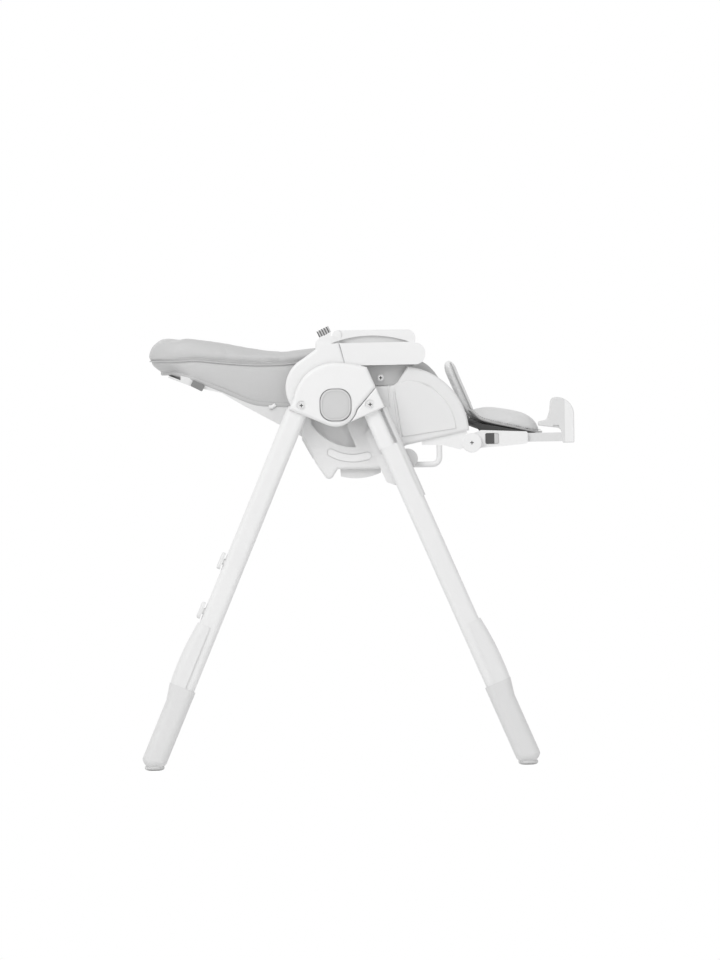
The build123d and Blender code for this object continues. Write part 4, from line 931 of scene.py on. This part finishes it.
@dataclass
class BackCover:
    """Padded tub of the backrest: a bolster round three sides of a hollow, sewn to a skirt with piping.

    The side lines are knots of (x, z). The insets and rises are knots of the profile, from hem to hollow.
    """

    foot: float = -33.0
    head: float = -360.0
    half: float = 166.5
    corner: float = 74.0
    spine: float = -250.0
    head_from: float = -268.0
    head_run: float = 78.0
    crown: float = 122.5
    ear: float = 12.0
    hem: tuple = ((-326, 68), (-280, 58), (-220, 35), (-160, 9.5), (-120, 4.5), (-86, 3), (-30, 3))
    seam: tuple = (
        (-350, 91), (-330, 88.8), (-310, 88.5), (-280, 90), (-260, 89.5),
        (-220, 85), (-160, 80), (-100, 80), (-60, 84), (-30, 88),
    )
    top: tuple = (
        (-322, 134), (-300, 138), (-280, 136), (-220, 127.5),
        (-160, 116.5), (-120, 110.5), (-90, 109), (-30, 111),
    )
    bed: tuple = ((-330, 64.5), (-322, 62.8), (-280, 46), (-220, 32), (-180, 9), (-150, -9), (-30, -40))
    dish: tuple = (
        (-318, 90), (-260, 73), (-220, 55), (-180, 36), (-140, 18), (-100, 2), (-58, -8), (-30, -9),
    )
    side_inset: tuple = (5, 2.2, 1.2, 2.6, 0.6, 7, 22, 39, 52, 66)
    head_inset: tuple = (35, 22, 11.5, 6, 1, 9, 36, 52, 62, 74)
    head_rise: tuple = (68, 75, 82, 90, 100)
    hem_knot: int = 0
    seam_knot: int = 3
    creases: tuple = (
        Crease((-219, 117), (-199, 97), 1.5, 3.6), Crease((-139, 95), (-118, 84), 1.6, 3.2),
        Crease((-102, 100), (-108, 84), 1.4, 3.2), Crease((-350, 111), (-318, 101), 0.6, 4.0),
        Crease((-348, 103), (-305, 95), 0.5, 3.6),
    )

    def rim(self) -> tuple[np.ndarray, np.ndarray]:
        """Outer plan line from the right foot round the head to the left foot, with what it looks to.

        Returns:
            Two arrays of x, y rows: the line and the place on the middle line that each point faces.
        """
        x = np.linspace(self.foot, self.head + self.corner, 70)
        turn = np.linspace(-pi / 2, -pi, 40)[1:]
        bend = np.stack([np.cos(turn), np.sin(turn)], axis=1) * self.corner
        bend += (self.head + self.corner, self.corner - self.half)
        y = np.linspace(self.corner - self.half, 0, 26)[1:]
        flank = np.stack([x, np.full_like(x, -self.half)], axis=1)
        end = np.stack([np.full_like(y, self.head), y], axis=1)
        right = np.concatenate([flank, bend, end])
        line = np.concatenate([right, right[-2::-1] * (1, -1)])
        return line, np.stack([np.maximum(line[:, 0], self.spine), np.zeros(len(line))], axis=1)

    def head_share(self, x: np.ndarray) -> np.ndarray:
        """How far the profile has turned from the side's to the head's."""
        return ease((self.head_from - x) / self.head_run)

    def surface(self) -> tuple[np.ndarray, np.ndarray]:
        """Upper and lower skins: at each rim point a profile of inset and height, from hem to middle line.

        The profile's knots are mixed from those of the side and of the head, by how near the head is.

        Returns:
            Points of the upper skin and of the lower skin, rim by profile.
        """
        line, middle = self.rim()
        x = line[:, 0]
        length = np.linalg.norm(middle - line, axis=1)
        hem, seam, top = level(self.hem, x), level(self.seam, x), level(self.top, x)
        toward = (middle - line)[:, 0] / length
        head = self.head_share(x)[:, None]
        side_in = np.array(self.side_inset)
        inset = side_in + head * (np.array(self.head_inset) - side_in)
        hollow = level(self.dish, x[:, None] + toward[:, None] * inset)
        side_up = np.stack([
            hem, hem + 0.35 * (seam - hem), hem + 0.75 * (seam - hem), seam, seam + 0.45 * (top - seam),
            seam + 0.85 * (top - seam), top, top - 0.24 * (top - hollow[:, 7]),
            hollow[:, 8] + 0.1 * (top - hollow[:, 8]), hollow[:, 9] + 1,
        ], axis=1)
        crown = self.crown + self.ear * ease((np.abs(line[:, 1]) - 55) / 100)
        rise = np.repeat(np.array(self.head_rise, float)[None], len(x), axis=0)
        over = np.stack([crown - 10.5, crown, crown - 6.5, hollow[:, 8] + 9, hollow[:, 9] + 2], axis=1)
        height = side_up + head * (np.concatenate([rise, over], axis=1) - side_up)
        inset = np.concatenate([inset, (0.7 * length + 20)[:, None], length[:, None]], axis=1)
        near = level(self.dish, x[:, None] + toward[:, None] * inset[:, 10:])
        height = np.concatenate([height, near - (1.5, 3.0)], axis=1)
        weights = spline_weights(inset.shape[1], 64)
        upper = self.skin(line, middle, inset @ weights.T, height @ weights.T)
        low_in = np.stack([inset[:, 0], inset[:, 0] + 9, (inset[:, 0] + length) / 2, length], axis=1)
        spots = x[:, None] + toward[:, None] * low_in
        under = np.minimum(level(self.bed, spots), level(self.dish, spots) - 13)
        under[:, 0] = height[:, 0]
        weights = np.stack([np.interp(np.linspace(0, 3, 64), np.arange(4), row) for row in np.eye(4)], axis=1)
        return upper, self.skin(line, middle, low_in @ weights.T, under @ weights.T)

    @staticmethod
    def skin(line: np.ndarray, middle: np.ndarray, inset: np.ndarray, height: np.ndarray) -> np.ndarray:
        """Points at insets from the rim towards the middle line.

        Args:
            line: x, y rows of the rim.
            middle: x, y rows of what each rim point faces.
            inset: insets, rim by profile.
            height: heights, rim by profile.

        Returns:
            Array of x, y, z, rim by profile.
        """
        way = (middle - line) / np.linalg.norm(middle - line, axis=1)[:, None]
        flat = line[:, None] + way[:, None] * inset[..., None]
        return np.concatenate([flat, height[..., None]], axis=2)

    def rim_path(self, knot: int, out: float, height: np.ndarray) -> np.ndarray:
        """Path round the cover at one knot of its profile.

        Args:
            knot: number of the knot.
            out: how far the path is moved out from the cover.
            height: height at each rim point.

        Returns:
            Array of x, y, z rows.
        """
        line, middle = self.rim()
        side, head = self.side_inset[knot], self.head_inset[knot]
        inset = side + self.head_share(line[:, 0]) * (head - side) - out
        return self.skin(line, middle, inset[:, None], height[:, None])[:, 0]

    def sewn(self, out: float, rise: float) -> np.ndarray:
        """Path of the bolster's seam.

        Args:
            out: how far it is moved out from the cover.
            rise: how far it is moved up.

        Returns:
            Array of x, y, z rows.
        """
        x = self.rim()[0][:, 0]
        seam = level(self.seam, x)
        height = seam + self.head_share(x) * (self.head_rise[self.seam_knot] - seam) + rise
        return self.rim_path(self.seam_knot, out, height)

    def edge(self, drop: float, out: float) -> np.ndarray:
        """Path of the cover's hem, lowered and moved out."""
        return self.rim_path(self.hem_knot, out, level(self.hem, self.rim()[0][:, 0]) - drop)

    def build(self) -> None:
        """Blow up the cover, press its seams and folds, and add piping, hem and stitches."""
        upper, lower = self.surface()
        count, wide = upper.shape[:2]
        quads = grid_faces(count, wide, False)
        skins = [quads, quads[:, ::-1] + count * wide]
        ends = []
        for row in (0, count - 1):
            a = row * wide + np.arange(wide - 1)
            ends.append(np.stack([a, a + 1, a + 1 + count * wide, a + count * wide], axis=1))
        cover = make_mesh("back_cover", np.concatenate([upper, lower]), skins + ends)
        held = np.concatenate([self.sewn(0, 0)[::2], self.edge(0, 0)[::2], lower[::6, ::8].reshape(-1, 3)])
        held = np.concatenate([(held + HUB) * MM, np.full((len(held), 1), 0.007)], axis=1)
        Cover.inflate(cover, 0.005, 5.0, 0.005, held)
        Cover.press(cover, self.sewn(0, 0), 2.4, 3.4)
        Cover.press(cover, self.edge(-7, 0), 1.2, 2.6)
        Cover.fold(cover, self.creases, 140)
        Cover.round_off(cover, 0.7)
        WARDROBE.dress(cover, VINYL, "backrest")
        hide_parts("backrest_pad")
        WARDROBE.dress(tube("back_piping", self.sewn(1.0, 0), (1.5, 1.5), 12), PIPING, "backrest")
        WARDROBE.dress(stitches("back_stitches", self.sewn(1.2, 6.5), 4.0, 0.45), THREAD, "backrest")
        WARDROBE.dress(tube("back_hem", self.edge(1.5, 0.5), (1.9, 4.2), 14), PIPING, "backrest")


@dataclass
class SeatCover:
    """Seat cushion with a bolster each side, and the padded bridge to the backrest."""

    rear: float = 30.0
    front: float = 242.0
    half: float = 161.0
    base: float = -49.0
    rim: float = -31.0
    crown: float = -14.0
    channels: tuple = (92.0, 150.0)
    channel_half: float = 118.0
    bolster_line: tuple = (
        (108, -16), (106, 30), (109, 66), (128, 82), (152, 86), (172, 80),
        (192, 61), (213, 26), (226, -16), (170, -26), (108, -16),
    )
    bridge_line: tuple = ((52, -29), (26, -31), (4, -33), (-22, -32), (-46, -22), (-62, -9))

    def plan(self, turn: np.ndarray, grow: float) -> tuple[np.ndarray, np.ndarray]:
        """Plan of the cushion: a superellipse, grown all round.

        Args:
            turn: angles round the cushion.
            grow: how far it is grown, in millimetres.

        Returns:
            Distances x and y from the middle of the cushion.
        """
        x = ((self.front - self.rear) / 2 + grow) * power(np.cos(turn), 0.3)
        return x, (self.half + grow) * power(np.sin(turn), 0.22)

    def cushion(self) -> bpy.types.Object:
        """Pillow on a rounded rectangle: its plan is shrunk towards the crown and the base.

        Returns:
            The new object.
        """
        turn, lift = globe(120, 41)
        spread = np.abs(np.cos(lift)) ** 0.32
        x, y = self.plan(turn, 0.0)
        up = np.where(lift > 0, self.crown - self.rim, self.rim - self.base)
        z = self.rim + up * power(np.sin(lift), 0.8)
        points = np.stack([(self.rear + self.front) / 2 + x * spread, y * spread, z], axis=-1)
        return make_mesh("seat_cushion", points, [grid_faces(41, 120, True)])

    def bolster(self, side: Side) -> bpy.types.Object:
        """Side bolster: a slab with a soft edge.

        Args:
            side: which side of the seat.

        Returns:
            The new object.
        """
        outline = smooth_line(self.bolster_line, 97)[:-1]
        y = side.value * (151 + 12 * power(np.sin(np.linspace(-pi / 2, pi / 2, 19)), 0.85))
        return slab(f"seat_bolster_{side.tag}", outline, (160.0, 30.0), 19, 0.42, y)

    def build(self) -> None:
        """Blow up the cushion and bolsters, sew the cushion's channels and lay the bridge."""
        cushion = self.cushion()
        Cover.inflate(cushion, 0.005, 5.0, 0.004)
        y = np.linspace(-self.channel_half, self.channel_half, 80)
        for x in self.channels:
            bow = x + 10 * (y / self.channel_half) ** 2
            channel = np.stack([bow, y, np.full_like(y, self.crown + 2.5)], axis=1)
            Cover.press(cushion, channel, 3.0, 6.0)
            row = stitches(f"seat_stitches_{int(x)}", channel + (0, 0, -2.6), 4.5, 0.5)
            WARDROBE.dress(row, THREAD, "seat")
        Cover.round_off(cushion, 0.65)
        WARDROBE.dress(cushion, VINYL, "seat")
        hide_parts("seat_pad")
        for side in Side:
            bolster = self.bolster(side)
            Cover.inflate(bolster, 0.004, 4.0, 0.003)
            Cover.round_off(bolster, 0.7)
            WARDROBE.dress(bolster, VINYL, "seat")
        bridge = strip("seat_bridge", self.bridge_line, (5.0, 146.0), (60, 96), 12)
        bridge.data.materials.append(WARDROBE.material(VINYL))
        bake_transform(bridge)
        LOG.info("seat_bridge: bends from seat to backrest")
        x, y = self.plan(np.linspace(0, 2 * pi, 161), 1.5)
        rim = np.stack([(self.rear + self.front) / 2 + x, y, np.full_like(x, self.rim)], axis=1)
        WARDROBE.dress(tube("seat_piping", smooth_line(rim, 300), (2.0, 2.0), 10), PIPING, "seat")


@dataclass
class CrotchCover:
    """Padded guard between the legs, drawn over its post, with piping down each edge."""

    path: tuple = ((271.0, -38), (263, -24), (252, -3), (240, 24), (228, 52), (220.5, 71), (216.5, 83))
    wide: float = 45.0
    rows: int = 80
    sides: int = 80

    def build(self) -> None:
        """Carry a rounded section up the post: flat ovals that close at the head and thin at the foot."""
        line = smooth_line(self.path, self.rows)
        along = tangents(line)
        s = np.linspace(0, 1, self.rows)
        close = np.sqrt(np.clip(1 - np.clip((s - 0.9) / 0.1, 0, 1) ** 2, 0, 1))
        close *= np.sqrt(np.clip(1 - np.clip((0.04 - s) / 0.04, 0, 1) ** 2, 0, 1))
        thick = np.interp(s, [0, 0.12, 0.3, 0.55, 0.85, 1], [3.0, 5.0, 8.6, 9.2, 9.6, 9.0]) * close
        wide = self.wide * np.interp(s, [0, 0.15, 0.8, 1], [0.94, 1, 1, 0.9]) * close**0.5
        turn = np.linspace(0, 2 * pi, self.sides, endpoint=False)
        out = thick[:, None] * power(np.sin(turn), 0.72)
        y = wide[:, None] * power(np.cos(turn), 0.42)
        points = np.stack([line[:, :1] - along[:, 1:] * out, y, line[:, 1:] + along[:, :1] * out], axis=-1)
        cover = make_mesh("crotch_cover", points, [grid_faces(self.rows, self.sides, True)])
        Cover.inflate(cover, 0.004, 4.0, 0.0015)
        # The seams run on the front half of the section, short of its two ends.
        front = line + np.stack([along[:, 1], -along[:, 0]], axis=1) * (thick * 0.55)[:, None]
        for side in Side:
            seam = np.stack([front[:, 0], side.value * (wide + 0.3), front[:, 1]], axis=1)[3:-4]
            Cover.press(cover, seam, 1.0, 2.2)
            piping = tube(f"crotch_piping_{side.tag}", seam, (1.5, 1.5), 10, ACROSS)
            WARDROBE.dress(piping, PIPING, "seat")
        Cover.round_off(cover, 0.75)
        WARDROBE.dress(cover, POMMEL, "seat")
        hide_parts("crotch_pad")


@dataclass
class LegrestCover:
    """Crowned pad on the legrest board, piped and stitched round its edge."""

    rear: float = 258.0
    front: float = 396.0
    half: float = 146.5
    top: tuple = ((256, -9), (280, -9.5), (300, -11.5), (340, -18), (370, -26.5), (388, -38), (398, -52))
    rim: tuple = (
        (256, -13), (264, -18), (272, -26), (283, -34), (310, -41.5), (340, -48), (380, -57.5), (398, -58.5),
    )
    base: tuple = ((256, -25), (264, -31), (274, -38), (325, -48.2), (385, -59.2), (398, -60.5))

    def plan(self, turn: np.ndarray, spread: np.ndarray) -> tuple[np.ndarray, np.ndarray]:
        """Rounded rectangle at a share of its size."""
        x = (self.rear + self.front) / 2 + (self.front - self.rear) / 2 * power(np.cos(turn), 0.42) * spread
        return x, self.half * power(np.sin(turn), 0.26) * spread

    def build(self) -> None:
        """Pillow whose rim, crown and base follow side lines, with piping and stitches along the rim."""
        turn, lift = globe(140, 37)
        x, y = self.plan(turn, np.abs(np.cos(lift)) ** 0.5)
        rim, top, base = level(self.rim, x), level(self.top, x), level(self.base, x)
        rise = np.abs(np.sin(lift))
        z = rim + np.where(lift > 0, (top - rim) * rise**1.1, -(rim - base) * rise)
        cover = make_mesh("legrest_cover", np.stack([x, y, z], axis=-1), [grid_faces(37, 140, True)])
        Cover.inflate(cover, 0.004, 4.0, 0.003)
        Cover.round_off(cover, 0.6)
        WARDROBE.dress(cover, GUARD, "legrest")
        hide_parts("legrest_pad")
        around = np.linspace(0, 2 * pi, 181)
        x, y = self.plan(around, np.ones_like(around))
        edge = np.stack([x, y, level(self.rim, x) + 0.5], axis=1)
        WARDROBE.dress(tube("legrest_piping", smooth_line(edge, 320), (2.1, 2.1), 10), PIPING, "legrest")
        sewn = smooth_line(edge * (0.985, 0.975, 1) + (4.7, 0, 4.5), 320)
        WARDROBE.dress(stitches("legrest_stitches", sewn, 4.5, 0.45), THREAD, "legrest")


@dataclass
class Trims:
    """Small dark and bright details of the seat, hubs and legrest."""

    cross: float = 3.4
    bar: tuple = (0.35, 0.85)
    proud: float = 0.1
    screws: tuple = (
        ("rear_hub_screw", "rear_hub_screws", -66, 0), ("front_hub_screw", "front_hub_screws", 67, 0),
        ("seat_screw", "seat_screws", 88, 51), ("pivot_screw", "legrest_pivots", 262, -77),
    )
    ribs: tuple = (((113, 25), (116, -6), (122, -58)), ((103, 36), (104, 16), (105, -4)))
    rib_face: float = 220.4
    # Side line of a darker bar painted as shade round the wing's raised panel.
    welt: tuple = (
        (128, -63), (118.5, 8), (118.5, 27), (125, 38.5), (142, 44.5),
        (178, 36), (206, 10), (221, -16), (231, -48),
    )
    welt_face: float = 220.3
    clip: tuple = ((-129, -2), (-122, -1.5), (-116, 3))
    clip_face: float = 165.0
    # Side outline of the plate of painted shade under the armrest.
    lining_line: tuple = (
        (60, 36), (50, 52), (52, 78), (100, 80), (146, 79),
        (152, 72), (138, 64), (124, 44), (110, 36), (60, 36),
    )
    lining_top: float = 75.7
    apron_line: tuple = ((243, -28), (254, -35), (266, -40), (284, -47))

    def lining(self, side: Side) -> None:
        """Dark plate of painted shade inside the armrest: a thin slab, cut level just under the arm.

        Args:
            side: which side of the seat.
        """
        outline = smooth_line(self.lining_line, 81)[:-1]
        outline[:, 1] = np.minimum(outline[:, 1], self.lining_top)
        y = side.value * (200 + 2.2 * np.sin(np.linspace(-pi / 2, pi / 2, 9)))
        plate = slab(f"side_lining_{side.tag}", outline, (100.0, 62.0), 9, 0.12, y)
        WARDROBE.dress(plate, POCKET_SHADE, "seat")

    def apron(self) -> None:
        """Dark flap from the seat's front edge to the legrest pad, along a sagging line."""
        apron = strip("legrest_apron", self.apron_line, (7.5, 140.0), (40, 72), 10)
        apron.data.materials.append(WARDROBE.material(LINING))
        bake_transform(apron)
        LOG.info("legrest_apron: bends from seat to legrest")

    def screw_cross(self, name: str, node: str, x: float, z: float) -> None:
        """Painted shade of a screw's cross slot on each side: two thin dark flat bars laid over each other.

        Args:
            name: start of the names of the pieces.
            node: the screws, whose outer faces carry the slots.
            x: place of the screw along the chair.
            z: height of the screw.
        """
        carrier = frame["nodes"][node]
        y = np.abs(Cover.points(carrier.data)[:, 1]).max() / MM + self.proud
        for side in Side:
            for number, (way, up) in enumerate((((1, 0, 0), (0, 0, 1)), ((0, 0, 1), (1, 0, 0)))):
                step = np.linspace(-self.cross, self.cross, 7)[:, None] * np.array(way, float)
                path = step + (x, side.value * y, z)
                piece = tube(f"{name}_slot_{number}_{side.tag}", path, self.bar, 8, up)
                WARDROBE.dress(piece, SLOT_SHADE, carrier["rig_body"])

    def build(self) -> None:
        """Lay the apron, the painted shade of the screw slots, the ribs of the wings with bars of painted shade
        round their panels, the plates of painted shade under the armrests and the hem clips.
        """
        self.apron()
        for screw in self.screws:
            self.screw_cross(*screw)
        for side in Side:
            for number, knots in enumerate(self.ribs):
                y = side.value * self.rib_face
                rib = side_bar(f"wing_rib_{number}_{side.tag}", knots, y, 30, (1.6, 1.1))
                WARDROBE.dress(rib, SIDE, "seat")
            # Painted shade round the wing's raised panel: a thin bar of a darker finish.
            welt = side_bar(f"wing_welt_{side.tag}", self.welt, side.value * self.welt_face, 90, (1.3, 0.8))
            WARDROBE.dress(welt, UNDER, "seat")
            self.lining(side)
            y = side.value * self.clip_face
            clip = side_bar(f"hem_clip_{side.tag}", self.clip, y, 24, (3.4, 2.2), 12)
            WARDROBE.dress(clip, WHITE, "backrest")


@dataclass
class HubSprings:
    """Coil behind each fold button; on the chair it shortens as its button goes in, but the coil built here
    does not.
    """

    turns: float = 3.0
    radius: float = 15.0
    wire: float = 0.8
    stroke: float = 0.004

    def build(self) -> None:
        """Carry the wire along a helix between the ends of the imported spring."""
        for side in Side:
            low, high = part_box(f"fold_spring_{side.tag}")
            ends = np.array([low.y, high.y]) / MM
            turn = np.linspace(0, 2 * pi * self.turns, 120)
            y = np.linspace(ends[0] + self.wire, ends[1] - self.wire, 120)
            path = np.stack([self.radius * np.cos(turn), y, self.radius * np.sin(turn)], axis=1)
            coil = tube(f"fold_coil_{side.tag}", path, (self.wire, self.wire), 10, ACROSS)
            WARDROBE.dress(coil, STEEL, "rear_frame")
            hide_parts(f"fold_spring_{side.tag}")
            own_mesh(coil)


@dataclass
class FootPads:
    """Rounded rubber pads under the boots."""

    half: tuple = (19.0, 25.0, 6.0)
    inward: float = 5.0

    def build(self) -> None:
        """Flattened superellipsoid under each boot, set in towards the middle of the chair."""
        turn, lift = globe(64, 25)
        spread = np.abs(np.cos(lift)) ** 0.55
        z = self.half[2] * (1 + power(np.sin(lift), 0.8)) - HUB[2]
        for end, way in (("front", -1), ("rear", 1)):
            low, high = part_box(f"{end}_glides")
            middle = (low.x + high.x) / 2 / MM - HUB[0] + way * self.inward
            x = middle + self.half[0] * power(np.cos(turn), 0.8) * spread
            for side in Side:
                inner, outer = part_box(f"{end}_boot_{side.tag}")
                y = (inner.y + outer.y) / 2 / MM + self.half[1] * power(np.sin(turn), 0.8) * spread
                points = np.stack([x, y, z], axis=-1)
                pad = make_mesh(f"foot_pad_{end}_{side.tag}", points, [grid_faces(25, 64, True)])
                WARDROBE.dress(pad, RUBBER, f"{end}_frame")
                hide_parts(f"{end}_glides")


class Solids:
    """Carried-over solids and the finish of each."""

    def build(self) -> None:
        """Paint every solid that stays in view."""
        for side in (side.tag for side in Side):
            WARDROBE.paint(LEG, f"front_leg_{side}", f"rear_leg_{side}")
            WARDROBE.paint(BOOT, f"front_boot_{side}", f"rear_boot_{side}")
            WARDROBE.paint(WHITE, f"hub_bracket_{side}", f"hub_housing_{side}", f"shoulder_{side}")
            WARDROBE.paint(ARM, f"armrest_{side}")
            WARDROBE.paint(SIDE, f"seat_side_{side}")
            WARDROBE.paint(PALE, f"height_carriage_{side}")
            WARDROBE.paint(BUTTON, f"fold_button_{side}", f"height_button_{side}")
            WARDROBE.paint(RIBBED, f"armrest_button_{side}")
            WARDROBE.paint(LATCH, f"legrest_button_{side}")
        WARDROBE.paint(LEG, "front_cross_tube", "rear_cross_tube", "seat_braces")
        WARDROBE.paint(PALE, "front_sleeves", "rear_sleeves", "tray_studs", "crotch_post")
        WARDROBE.paint(PLATE, "foot_plate")
        WARDROBE.paint(WHITE, "hub_covers", "legrest_brackets", "legrest_pivots")
        WARDROBE.paint(WHITE, "side_inlays", "armrest_pins")
        WARDROBE.paint(REST, "legrest_frame")
        WARDROBE.paint(BUCKET, "seat_bucket")
        WARDROBE.paint(UNDER, "seat_pan", "seat_bottom_cover")
        WARDROBE.paint(SHELL, "backrest_shell")
        WARDROBE.paint(HANDLE, "recline_handle")
        WARDROBE.paint(CHROME, "front_hub_screws", "rear_hub_screws", "seat_screws")
        WARDROBE.paint(STEEL, "hub_pivot_pins", "recline_pins")


@dataclass
class Studio:
    """Pale floor, soft light and the camera of a product shot seen square from the side."""

    distance: float = 3.0
    frame_height: float = 1.8528
    centre: tuple = (0.0048, 0.5545)
    roll: float = radians(0.95)
    ambient: float = 0.56
    aim: tuple = (0, 0, 0.55)
    rings: tuple = (0.0, 1.0, 2.2)

    def build(self) -> None:
        """Make the floor, the lamps, the surroundings and the camera."""
        self.floor()
        self.lamp("key", (-1.5, -2.7, 2.9), 2.2, 57)
        self.lamp("fill", (2.6, -3.0, 1.0), 2.4, 12)
        self.lamp("back", (-1.5, 3.0, 2.6), 2.6, 14)
        self.surroundings()
        self.camera()
        bpy.context.scene.view_settings.view_transform = "Standard"

    def floor(self) -> None:
        """Round pale floor: rings of points about the chair."""
        turn = np.linspace(0, 2 * pi, 96, endpoint=False)
        rings = np.array(self.rings)[:, None] / MM
        x, y = rings * np.cos(turn) - HUB[0], rings * np.sin(turn)
        points = np.stack([x, y, np.full_like(x, -HUB[2])], axis=-1)
        floor = make_mesh("floor", points, [grid_faces(len(rings), 96, True)], weld=1e-6)
        floor.data.materials.append(WARDROBE.material(FLOOR))

    def lamp(self, name: str, spot: tuple, size: float, watts: float) -> None:
        """Square soft lamp that looks at the seat.

        Args:
            name: name of the lamp.
            spot: where it hangs, in metres.
            size: length of its side, in metres.
            watts: its power.
        """
        light = bpy.data.lights.new(name, "AREA")
        light.size, light.energy = size, watts
        lamp = bpy.data.objects.new(name, light)
        bpy.context.scene.collection.objects.link(lamp)
        lamp.location = spot
        lamp.rotation_euler = (Vector(self.aim) - Vector(spot)).to_track_quat("-Z", "Y").to_euler()

    def surroundings(self) -> None:
        """White to the camera and in reflections, a plain grey light otherwise."""
        world = bpy.data.worlds.new("studio")
        bpy.context.scene.world = world
        world.use_nodes = True
        tree = world.node_tree
        back = tree.nodes["Background"]
        path = tree.nodes.new("ShaderNodeLightPath")
        seen = Finish.maths(tree, "MAXIMUM", path.outputs["Is Camera Ray"], path.outputs["Is Glossy Ray"])
        seen = Finish.maths(tree, "MAXIMUM", seen, path.outputs["Is Transmission Ray"])
        strength = Finish.maths(tree, "MULTIPLY_ADD", seen, 1 - self.ambient, self.ambient)
        tree.links.new(strength, back.inputs["Strength"])
        back.inputs["Color"].default_value = (1, 1, 1, 1)

    def camera(self) -> None:
        """Parallel view square to the child's right side, rolled as the picture is."""
        data = bpy.data.cameras.new("camera")
        data.type = "ORTHO"
        data.ortho_scale = self.frame_height
        camera = bpy.data.objects.new("camera", data)
        bpy.context.scene.collection.objects.link(camera)
        c, s = cos(self.roll), sin(self.roll)
        camera.matrix_world = Matrix((
            (c, s, 0, self.centre[0]), (0, 0, -1, -self.distance), (-s, c, 0, self.centre[1]), (0, 0, 0, 1),
        ))
        bpy.context.scene.camera = camera


def main() -> None:
    """Build the chair's looks in order."""
    logging.basicConfig(level=logging.INFO, format="%(message)s")
    covers = (BackCover(), SeatCover(), CrotchCover(), LegrestCover())
    for part in (Studio(), Solids(), *covers, HubSprings(), FootPads(), Trims()):
        part.build()
        LOG.info("%s done", type(part).__name__)


if __name__ == "__main__":
    main()
